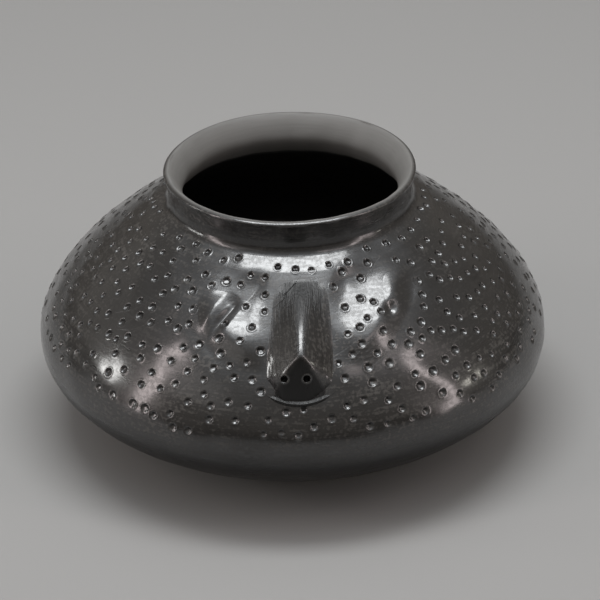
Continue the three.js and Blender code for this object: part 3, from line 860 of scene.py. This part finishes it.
def base_piece(wall, face):
    """The base: a flat underside, the first of the curved wall, and a dished floor inside."""
    count = BASE_COLUMNS
    jar = wall.jar
    turn = turns(count)[None, :]
    joint = wall.joint("base_pad")
    flat = BASE_RINGS[:, None] * jar.base_radius
    under = spin(wall, flat + 0 * turn, 0.0 * flat, turn)
    climbs = np.linspace(0.4 * MM, joint, 20)
    outer = plain_rows(wall, face, climbs, count)
    bowl = inside_rows(wall, face, np.linspace(joint - jar.lap, BOWL_FOOT, 12), count)
    edge_r, edge_z = wall.at(wall.inner, BOWL_FOOT)
    ease = np.linspace(0.85, 0.1, 6)[:, None]
    floor_z = jar.floor + (edge_z - jar.floor) * ease**4
    floor = spin(wall, ease * edge_r + 0 * turn, floor_z, turn)
    points = np.vstack((under, outer, bowl, floor))
    rows = points.shape[0]
    crease = np.zeros((rows, count), int)
    crease[len(flat) + len(climbs) - 1] = 1
    crease[len(flat) + len(climbs)] = 2
    crease = np.concatenate((crease.ravel(), (0, 0)))
    poles = np.array(((0, 0, 0), (0, 0, jar.floor)))
    faces = pole_faces(rows, count, rows * count, rows * count + 1)
    points = np.vstack((points.reshape(-1, 3), poles))
    wiped = np.full((rows, count), INSIDE_WIPE)
    fade = step(12 * MM, 4 * MM, climbs)[:, None]
    wiped[len(flat) : len(flat) + len(climbs)] = fade * INSIDE_WIPE
    wiped = np.concatenate((wiped.ravel(), (INSIDE_WIPE, INSIDE_WIPE)))
    return add_piece(
        "base_clay", "base_pad", ROUND_CLAY, points, faces, {"wiped": wiped}, crease
    )


def rim_piece(wall, face):
    """The rim: flared outside, a half-round lip, and the inside down to its joint."""
    count = RIM_COLUMNS
    low = wall.joint("neck_coil")
    climbs = np.linspace(low, wall.top, 18)
    outer = plain_rows(wall, face, climbs, count)
    turn = turns(count)[None, :]
    section = wall.lip[1:-1]
    lip = spin(wall, section[:, :1] + 0 * turn, section[:, 1:], turn)
    inner = inside_rows(wall, face, np.linspace(wall.top, low - wall.jar.lap, 24), count)
    points = np.vstack((outer, lip, inner))
    rows = points.shape[0]
    crease = np.zeros((rows, count), int)
    crease[0] = 1
    crease[-1] = 2
    faces = grid_faces(rows, count, True, True)
    wiped = np.zeros((rows, count))
    wiped[len(climbs) : -len(inner)] = step(0.3, 1, np.linspace(0, 1, len(lip)))[:, None]
    wiped[-len(inner) :] = 1
    masks = {"wiped": wiped, "polish": 1 - wiped}
    return add_piece(
        "rim_clay", "rim_coil", ROUND_CLAY, points.reshape(-1, 3), faces, masks, crease
    )


def pillow(top, under, mask):
    """Closes a raised sheet with a sheet under it that shares its border, and carries its mask."""
    rows, cols = top.shape[:2]
    upper = np.arange(rows * cols).reshape(rows, cols)
    lower = upper + rows * cols
    for edge in (np.s_[0, :], np.s_[-1, :], np.s_[:, 0], np.s_[:, -1]):
        lower[edge] = upper[edge]
    corners = [upper[:-1, :-1], upper[:-1, 1:], upper[1:, 1:], upper[1:, :-1]]
    front = np.stack(corners, axis=-1).reshape(-1, 4)
    corners = [lower[:-1, :-1], lower[1:, :-1], lower[1:, 1:], lower[:-1, 1:]]
    back = np.stack(corners, axis=-1).reshape(-1, 4)
    faces = np.vstack((front, back))
    used, renamed = np.unique(faces, return_inverse=True)
    points = np.vstack((top.reshape(-1, 3), under.reshape(-1, 3)))[used]
    return points, renamed.reshape(-1, 4), np.tile(mask.ravel(), 2)[used]


def nose_piece(wall, face):
    """The nose: its height over the wall on a grid that is wider at the foot."""
    foot = wall.foot - face.nose_below_neck - face.nose_length
    p, q = np.meshgrid(np.linspace(-1.1, 1.1, 150), np.linspace(0, 1, 240))
    low = NOSE_LIP_SAG * p**2 - NOSE_LIP_SAG
    up = low + (face.nose_length + 0.6 * MM - low) * q
    off_line = p * nose_half_width(face, up / face.nose_length)
    lift = nose_lift(face, off_line, up) + nostrils(face, off_line, up)
    lift = np.where(np.abs(p) > 1.09, np.minimum(lift, -BORDER_DEPTH), lift)
    climb = foot + up
    turn = (off_line + nose_line(face, up)) / wall.radius(climb)
    raised = on_wall(wall, face, climb, turn, lift)
    sunk = on_wall(wall, face, climb, turn, -NOSE_BACK)
    edge = np.maximum(face.nose_tip_up * (1 - np.abs(p)), nose_foot(face, off_line) + 1 * MM)
    dull = 1 - 0.85 * step(4 * MM, 28 * MM, face.nose_length - up)
    polish = 1 - dull * (1 - step(0.5, 0.95, np.abs(p))) * step(0, 5 * MM, face.nose_length - up)
    polish = polish * step(-1 * MM, 2 * MM, up - edge)
    polish = np.maximum(polish, nostril_rims(face, off_line, up))
    points, faces, polish = pillow(raised, sunk, polish)
    masks = {"polish": polish}
    return add_piece("nose_clay", "nose", DRAWN_CLAY, points, faces, masks)


def ridge_piece(wall, face, node, side):
    """An eye ridge: a bent hill, steep towards the eye and long on its outer side."""
    name = "left" if side < 0 else "right"
    inner, outer = getattr(face, name + "_ridge_inner"), face.ridge_outer
    height = getattr(face, name + "_ridge_height")
    q, p = np.meshgrid(np.linspace(0, 1, 110), np.linspace(-1, 1, 80))
    along = (q - 0.5) * face.ridge_length
    inward = np.where(p < 0, -p * inner, -p * outer) * (0.3 + 0.7 * np.sin(math.pi * q))
    peak = face.ridge_peak
    fall = np.where(q < peak, (peak - q) / peak, (q - peak) / (1 - peak))
    lift = height * bump(p) * bump(fall) - SEAT
    aside, below = ridge_place(face, side, along, inward)
    climb = wall.foot - below
    turn = aside / wall.radius(climb)
    raised = on_wall(wall, face, climb, turn, lift)
    sunk = on_wall(wall, face, climb, turn, -EYE_RIDGE_BACK)
    if side < 0:
        raised, sunk = raised[:, ::-1], sunk[:, ::-1]
    points, faces, polish = pillow(raised, sunk, np.ones(p.shape))
    masks = {"polish": polish}
    return add_piece(node + "_clay", node, ROUND_CLAY, points, faces, masks)


def node(tree, kind, values=None, **settings):
    """Adds a shader node with its settings and the values of its sockets."""
    made = tree.nodes.new(kind)
    for key, value in settings.items():
        setattr(made, key, value)
    for key, value in (values or {}).items():
        made.inputs[key].default_value = value
    return made


def group(name, inputs, outputs):
    """Starts a shader node group with named inputs and outputs."""
    tree = bpy.data.node_groups.new(name, "ShaderNodeTree")
    for label, kind, default in inputs:
        socket = tree.interface.new_socket(name=label, in_out="INPUT", socket_type=kind)
        if default is not None:
            socket.default_value = default
    for label, kind in outputs:
        tree.interface.new_socket(name=label, in_out="OUTPUT", socket_type=kind)
    return tree, tree.nodes.new("NodeGroupInput"), tree.nodes.new("NodeGroupOutput")


def wire(tree, *wires):
    """Links nodes: each wire gives a node, its output, the next node and its input."""
    for source, out, target, entry in wires:
        tree.links.new(source.outputs[out], target.inputs[entry])


def strokes_group():
    """Burnishing strokes: noise drawn out round the jar, in a coarse and a fine layer."""
    name = "burnish_strokes"
    if name in bpy.data.node_groups:
        return bpy.data.node_groups[name]
    tree, entry, leave = group(
        name,
        [
            ("Vector", "NodeSocketVector", None),
            ("Stretch", "NodeSocketVector", (22.0, 22.0, 420.0)),
            ("Fine Share", "NodeSocketFloat", 0.6),
        ],
        [("Strokes", "NodeSocketFloat")],
    )
    scaled = node(tree, "ShaderNodeVectorMath", operation="MULTIPLY")
    coarse = node(tree, "ShaderNodeTexNoise", {"Scale": 1.0, "Detail": 3.0, "Roughness": 0.6})
    fine = node(tree, "ShaderNodeTexNoise", {"Scale": 3.7, "Detail": 2.0, "Roughness": 0.55})
    both = node(tree, "ShaderNodeMix", data_type="FLOAT")
    wire(
        tree,
        (entry, "Vector", scaled, 0),
        (entry, "Stretch", scaled, 1),
        (scaled, "Vector", coarse, "Vector"),
        (scaled, "Vector", fine, "Vector"),
        (entry, "Fine Share", both, "Factor"),
        (coarse, "Fac", both, "A"),
        (fine, "Fac", both, "B"),
        (both, "Result", leave, "Strokes"),
    )
    return tree


def scratches_group():
    """Fine scratches: thin bands where a drawn-out noise crosses its middle value."""
    name = "fine_scratches"
    if name in bpy.data.node_groups:
        return bpy.data.node_groups[name]
    tree, entry, leave = group(
        name,
        [
            ("Vector", "NodeSocketVector", None),
            ("Turn", "NodeSocketFloat", 0.5),
            ("Width", "NodeSocketFloat", 0.012),
        ],
        [("Scratches", "NodeSocketFloat")],
    )
    turned = node(tree, "ShaderNodeVectorRotate", {"Axis": (0, 1, 0)}, rotation_type="AXIS_ANGLE")
    scaled = node(tree, "ShaderNodeVectorMath", operation="MULTIPLY")
    scaled.inputs[1].default_value = (30.0, 30.0, 260.0)
    noise = node(tree, "ShaderNodeTexNoise", {"Scale": 1.0, "Detail": 1.0})
    offset = node(tree, "ShaderNodeMath", {1: 0.5}, operation="SUBTRACT")
    size = node(tree, "ShaderNodeMath", operation="ABSOLUTE")
    line = node(tree, "ShaderNodeMapRange", {"From Min": 0.0, "To Min": 1.0, "To Max": 0.0})
    patch = node(tree, "ShaderNodeTexNoise", {"Scale": 45.0, "Detail": 1.0})
    some = node(tree, "ShaderNodeMapRange", {"From Min": 0.5, "From Max": 0.62})
    both = node(tree, "ShaderNodeMath", operation="MULTIPLY")
    wire(
        tree,
        (entry, "Vector", turned, "Vector"),
        (entry, "Turn", turned, "Angle"),
        (turned, "Vector", scaled, 0),
        (scaled, "Vector", noise, "Vector"),
        (noise, "Fac", offset, 0),
        (offset, "Value", size, 0),
        (size, "Value", line, "Value"),
        (entry, "Width", line, "From Max"),
        (entry, "Vector", patch, "Vector"),
        (patch, "Fac", some, "Value"),
        (line, "Result", both, 0),
        (some, "Result", both, 1),
        (both, "Value", leave, "Scratches"),
    )
    return tree


def smoke_group():
    """Smoke clouding: broad soft patches and a fine grain."""
    name = "smoke_clouding"
    if name in bpy.data.node_groups:
        return bpy.data.node_groups[name]
    tree, entry, leave = group(
        name,
        [("Vector", "NodeSocketVector", None), ("Patch Scale", "NodeSocketFloat", 18.0)],
        [("Clouds", "NodeSocketFloat"), ("Grain", "NodeSocketFloat")],
    )
    clouds = node(tree, "ShaderNodeTexNoise", {"Detail": 4.0, "Roughness": 0.6})
    spread = node(tree, "ShaderNodeMapRange", {"From Min": 0.3, "From Max": 0.7})
    grain = node(tree, "ShaderNodeTexNoise", {"Scale": 750.0, "Detail": 2.0})
    wire(
        tree,
        (entry, "Vector", clouds, "Vector"),
        (entry, "Patch Scale", clouds, "Scale"),
        (clouds, "Fac", spread, "Value"),
        (entry, "Vector", grain, "Vector"),
        (spread, "Result", leave, "Clouds"),
        (grain, "Fac", leave, "Grain"),
    )
    return tree


def placed_group(tree, made):
    """Puts a node group into a material and feeds it Object coordinates."""
    placed = node(tree, "ShaderNodeGroup", node_tree=made)
    where = node(tree, "ShaderNodeTexCoord")
    tree.links.new(where.outputs["Object"], placed.inputs["Vector"])
    return placed


# Stretch of the strokes of each clay, and depth of its bumps
CLAYS = {
    ROUND_CLAY: ((22.0, 22.0, 420.0), 0.25 * MM),
    DRAWN_CLAY: ((800.0, 50.0, 35.0), 0.5 * MM),
}
# Holes get painted shade: the upper wall of each hole, which lies in shadow, is coloured
# near-black, and holes are rougher. Grain and scratches are shares of the height of the strokes
HOLE_PAINTED_SHADE = (0.003, 0.003, 0.003, 1)
HOLE_ROUGHNESS = 0.25
GRAIN_HEIGHT = 0.3
SCRATCH_DEPTH = 0.4
INSIDE_SMOOTHNESS = 0.8
BUMP_STRENGTH = 0.6


def clay_material(name):
    """Smoked clay: black and glossy outside, with strokes, scratches and duller punched holes. The
    upper walls of the holes are painted near-black as shade.

    The wiped attribute turns it to the paler, matt clay of the inside.
    """
    if name in bpy.data.materials:
        return bpy.data.materials[name]
    finish = bpy.context.scene.effigy_finish
    material = bpy.data.materials.new(name)
    material.use_nodes = True
    tree = material.node_tree
    link = tree.links.new
    shader = tree.nodes["Principled BSDF"]
    shader.inputs["Specular IOR Level"].default_value = 0.4
    shader.inputs["Coat IOR"].default_value = 1.8
    shader.inputs["Coat Roughness"].default_value = 0.15
    smoke = placed_group(tree, smoke_group())
    strokes = placed_group(tree, strokes_group())
    strokes.inputs["Stretch"].default_value, depth = CLAYS[name]
    scratches = placed_group(tree, scratches_group())
    # punch: painted shade on the upper walls of the holes, and their duller finish
    punch = node(tree, "ShaderNodeAttribute", attribute_name="punch")
    wiped = node(tree, "ShaderNodeAttribute", attribute_name="wiped")
    polish = node(tree, "ShaderNodeAttribute", attribute_name="polish")

    def blend(kind, factor, a, b):
        """Mix node between two colours or numbers, each a socket or a plain value."""
        mix = node(tree, "ShaderNodeMix", data_type=kind)
        link(factor, mix.inputs["Factor"])
        for key, value in (("A", a), ("B", b)):
            if isinstance(value, bpy.types.NodeSocket):
                link(value, mix.inputs[key])
            else:
                mix.inputs[key].default_value = value
        return mix.outputs["Result"]

    def maths(operation, a, b):
        """Math node of a socket and a socket or plain number."""
        made = node(tree, "ShaderNodeMath", operation=operation)
        link(a, made.inputs[0])
        if isinstance(b, bpy.types.NodeSocket):
            link(b, made.inputs[1])
        else:
            made.inputs[1].default_value = b
        if operation == "MULTIPLY_ADD":
            made.inputs[2].default_value = 1
        return made.outputs["Value"]

    speckle = maths("MULTIPLY", smoke.outputs["Grain"], 0.5)
    speckle = maths("ADD", maths("MULTIPLY", strokes.outputs["Strokes"], 0.5), speckle)
    haze = node(tree, "ShaderNodeMapRange", {"From Min": 0.5, "From Max": 0.58})
    link(speckle, haze.inputs["Value"])
    haze = maths("MULTIPLY", haze.outputs["Result"], smoke.outputs["Clouds"])
    haze = maths("MULTIPLY", haze, polish.outputs["Fac"])
    black = blend("RGBA", haze, (*finish.smoked, 1), (*finish.smoked_pale, 1))
    # Painted shade: the upper walls of the holes are turned near-black
    black = blend("RGBA", punch.outputs["Fac"], black, HOLE_PAINTED_SHADE)
    grey = blend("RGBA", strokes.outputs["Strokes"], (*finish.wiped, 1), (*finish.wiped_pale, 1))
    link(blend("RGBA", wiped.outputs["Fac"], black, grey), shader.inputs["Base Color"])

    gloss = node(tree, "ShaderNodeMapRange", {"From Min": 0.35, "From Max": 0.68})
    gloss.inputs["To Min"].default_value = finish.gloss
    gloss.inputs["To Max"].default_value = finish.dull
    link(strokes.outputs["Strokes"], gloss.inputs["Value"])
    rough = maths("MULTIPLY", punch.outputs["Fac"], HOLE_ROUGHNESS)
    rough = maths("ADD", gloss.outputs["Result"], rough)
    link(blend("FLOAT", wiped.outputs["Fac"], rough, finish.matt), shader.inputs["Roughness"])

    shine = node(tree, "ShaderNodeMapRange", {"From Min": 0.44, "From Max": 0.56, "To Min": 1.0})
    shine.inputs["To Max"].default_value = finish.polish
    link(speckle, shine.inputs["Value"])
    shine = maths("MULTIPLY", shine.outputs["Result"], polish.outputs["Fac"])
    shine = maths("SUBTRACT", shine, punch.outputs["Fac"])
    link(shine, shader.inputs["Coat Weight"])

    height = maths("MULTIPLY", smoke.outputs["Grain"], GRAIN_HEIGHT)
    height = maths("ADD", strokes.outputs["Strokes"], height)
    cuts = maths("MULTIPLY", scratches.outputs["Scratches"], SCRATCH_DEPTH)
    height = maths("SUBTRACT", height, cuts)
    kept = maths("MULTIPLY_ADD", wiped.outputs["Fac"], -INSIDE_SMOOTHNESS)
    height = maths("MULTIPLY", height, kept)
    bumped = node(tree, "ShaderNodeBump", {"Strength": BUMP_STRENGTH, "Distance": depth})
    link(height, bumped.inputs["Height"])
    link(bumped.outputs["Normal"], shader.inputs["Normal"])
    return material


def softbox(name, azimuth, elevation, distance, size, radiance, tint):
    """A rectangular lamp that looks at the jar from a direction given in degrees."""
    a, e = math.radians(azimuth), math.radians(elevation)
    away = Vector((math.sin(a) * math.cos(e), -math.cos(a) * math.cos(e), math.sin(e)))
    data = bpy.data.lights.new(name, "AREA")
    data.shape = "RECTANGLE"
    data.size, data.size_y = size
    data.energy = radiance * math.pi * size[0] * size[1]
    data.color = tint
    lamp = bpy.data.objects.new(name, data)
    lamp.location = away * distance + Vector((0, 0, LAMP_AIM))
    lamp.rotation_mode = "QUATERNION"
    lamp.rotation_quaternion = (-away).to_track_quat("-Z", "Y")
    bpy.context.scene.collection.objects.link(lamp)
    return lamp


class EFFIGY_OT_courses(bpy.types.Operator):
    """Builds the courses of the wall, with the sockets and the punched marks"""

    bl_idname = "effigy.courses"
    bl_label = "Wall courses"

    def execute(self, context):
        scene = context.scene
        wall, face, punch = Wall(scene.effigy_wall), scene.effigy_face, scene.effigy_punch
        marks = scatter(wall, face, punch)
        low = wall.joint("base_pad")
        for course in COURSES:
            high = wall.joint(course)
            course_piece(wall, face, punch, marks, course, low, high)
            low = high
        return {"FINISHED"}


class EFFIGY_OT_base(bpy.types.Operator):
    """Builds the base"""

    bl_idname = "effigy.base"
    bl_label = "Base"

    def execute(self, context):
        base_piece(Wall(context.scene.effigy_wall), context.scene.effigy_face)
        return {"FINISHED"}


class EFFIGY_OT_rim(bpy.types.Operator):
    """Builds the rim with its lip"""

    bl_idname = "effigy.rim"
    bl_label = "Rim"

    def execute(self, context):
        rim_piece(Wall(context.scene.effigy_wall), context.scene.effigy_face)
        return {"FINISHED"}


class EFFIGY_OT_nose(bpy.types.Operator):
    """Builds the nose"""

    bl_idname = "effigy.nose"
    bl_label = "Nose"

    def execute(self, context):
        nose_piece(Wall(context.scene.effigy_wall), context.scene.effigy_face)
        return {"FINISHED"}


class EFFIGY_OT_ridges(bpy.types.Operator):
    """Builds the two eye ridges"""

    bl_idname = "effigy.ridges"
    bl_label = "Eye ridges"

    def execute(self, context):
        wall, face = Wall(context.scene.effigy_wall), context.scene.effigy_face
        ridge_piece(wall, face, "left_eye_ridge", -1)
        ridge_piece(wall, face, "right_eye_ridge", 1)
        return {"FINISHED"}


class EFFIGY_OT_stage(bpy.types.Operator):
    """Builds the floor, the lamps, the world and the camera"""

    bl_idname = "effigy.stage"
    bl_label = "Stage"

    def execute(self, context):
        scene = context.scene
        studio = scene.effigy_studio
        build_floor(studio)
        build_lamps()
        build_world(scene)
        build_camera(scene, studio)
        scene.view_settings.view_transform = "Standard"
        return {"FINISHED"}


def build_floor(studio):
    """A wide plain sheet at z = 0."""
    half = 4.0
    mesh = bpy.data.meshes.new("floor")
    corners = [(-half, -half, 0), (half, -half, 0), (half, half, 0), (-half, half, 0)]
    mesh.from_pydata(corners, [], [(0, 1, 2, 3)])
    floor = bpy.data.objects.new("floor", mesh)
    bpy.context.scene.collection.objects.link(floor)
    material = bpy.data.materials.new("pale_floor")
    material.use_nodes = True
    shader = material.node_tree.nodes["Principled BSDF"]
    shader.inputs["Base Color"].default_value = (*studio.floor, 1)
    shader.inputs["Roughness"].default_value = 0.9
    shader.inputs["Specular IOR Level"].default_value = 0.2
    mesh.materials.append(material)


# Lamps: name, azimuth and elevation in degrees, distance, size, radiance and tint
LAMPS = (
    ("overhead", 180, 88.6, 1.1, (0.86, 0.325), 8.4, (0.97, 0.99, 1)),
    ("overhead_glow", 0, 76, 1.1, (1.1, 0.22), 1.2, (0.93, 0.97, 1)),
    ("left_strip", -72, 21, 1.3, (0.14, 1.25), 5.4, (1, 0.88, 0.87)),
    ("right_strip", 65, 21, 1.3, (0.14, 1.25), 4.6, (1, 0.88, 0.87)),
    ("left_wall", -118, 20, 1.4, (0.9, 0.5), 0.1, (1, 0.97, 0.93)),
    ("left_fill", -50, 35, 1.3, (0.5, 0.35), 0.35, (1, 0.97, 0.95)),
    ("right_fill", 47, 52, 1.3, (0.4, 0.16), 1.5, (1, 0.86, 0.84)),
    ("left_box", -92, 15.5, 1.3, (0.22, 0.2), 10, (1, 1, 0.98)),
    ("right_box", 80.5, 11, 1.3, (0.2, 0.1), 6.2, (1, 0.96, 0.86)),
)


def build_lamps():
    """An overhead softbox with a glow before it, and a strip, a box and a fill on either side."""
    for lamp in LAMPS:
        softbox(*lamp)


def build_world(scene):
    """Soft light that grows from a dim warm horizon to a bright sky."""
    world = bpy.data.worlds.new("studio_world")
    world.use_nodes = True
    tree = world.node_tree
    where = node(tree, "ShaderNodeTexCoord")
    parts = node(tree, "ShaderNodeSeparateXYZ")
    ramp = node(tree, "ShaderNodeValToRGB")
    ramp.color_ramp.interpolation = "EASE"
    stops = (
        (0.0, (0.09, 0.08, 0.07)),
        (0.3, (0.25, 0.23, 0.21)),
        (0.6, (0.29, 0.275, 0.26)),
        (1.0, (0.65, 0.665, 0.69)),
    )
    while len(ramp.color_ramp.elements) < len(stops):
        ramp.color_ramp.elements.new(0.5)
    for element, (place, tint) in zip(ramp.color_ramp.elements, stops):
        element.position = place
        element.color = (*tint, 1)
    tree.links.new(where.outputs["Generated"], parts.inputs["Vector"])
    tree.links.new(parts.outputs["Z"], ramp.inputs["Fac"])
    tree.links.new(ramp.outputs["Color"], tree.nodes["Background"].inputs["Color"])
    scene.world = world


def build_camera(scene, studio):
    """A long lens that looks down at the face, with its target a little right of the axis."""
    a, e = studio.azimuth, studio.elevation
    right = Vector((math.cos(a), math.sin(a), 0))
    back = Vector((math.sin(a) * math.cos(e), -math.cos(a) * math.cos(e), math.sin(e)))
    target = right * AIM_ASIDE + Vector((0, 0, AIM_HEIGHT))
    data = bpy.data.cameras.new("camera")
    data.sensor_width = SENSOR_WIDTH
    data.lens = LENS
    data.clip_start, data.clip_end = 0.01, 20
    camera = bpy.data.objects.new("camera", data)
    turn = (-back).to_track_quat("-Z", "Y").to_matrix().to_4x4()
    place = Matrix.Translation(target + back * studio.distance)
    camera.matrix_world = place @ turn @ Matrix.Rotation(studio.roll, 4, "Z")
    scene.collection.objects.link(camera)
    scene.camera = camera


class EFFIGY_PT_panel(bpy.types.Panel):
    """Lists the steps that build the jar"""

    bl_idname = "EFFIGY_PT_panel"
    bl_label = "Effigy Jar"
    bl_space_type = "VIEW_3D"
    bl_region_type = "UI"
    bl_category = "Effigy Jar"

    def draw(self, context):
        for operator in STEPS:
            self.layout.operator(operator.bl_idname)
        for name in SETTINGS:
            settings = getattr(context.scene, name)
            box = self.layout.box()
            for key in settings.bl_rna.properties.keys():
                if key not in {"rna_type", "name"}:
                    box.prop(settings, key)


STEPS = (
    EFFIGY_OT_base,
    EFFIGY_OT_courses,
    EFFIGY_OT_rim,
    EFFIGY_OT_nose,
    EFFIGY_OT_ridges,
    EFFIGY_OT_stage,
)
SETTINGS = {
    "effigy_wall": JarWall,
    "effigy_face": JarFace,
    "effigy_punch": PunchMarks,
    "effigy_finish": ClayFinish,
    "effigy_studio": Studio,
}


def register():
    for settings in SETTINGS.values():
        bpy.utils.register_class(settings)
    for name, settings in SETTINGS.items():
        setattr(bpy.types.Scene, name, bpy.props.PointerProperty(type=settings))
    for made in (*STEPS, EFFIGY_PT_panel):
        bpy.utils.register_class(made)


def unregister():
    for made in reversed((*STEPS, EFFIGY_PT_panel)):
        bpy.utils.unregister_class(made)
    for name, settings in SETTINGS.items():
        delattr(bpy.types.Scene, name)
        bpy.utils.unregister_class(settings)


def main():
    register()
    bpy.ops.effigy.base()
    bpy.ops.effigy.courses()
    bpy.ops.effigy.rim()
    bpy.ops.effigy.nose()
    bpy.ops.effigy.ridges()
    bpy.ops.effigy.stage()


if __name__ == "__main__":
    main()
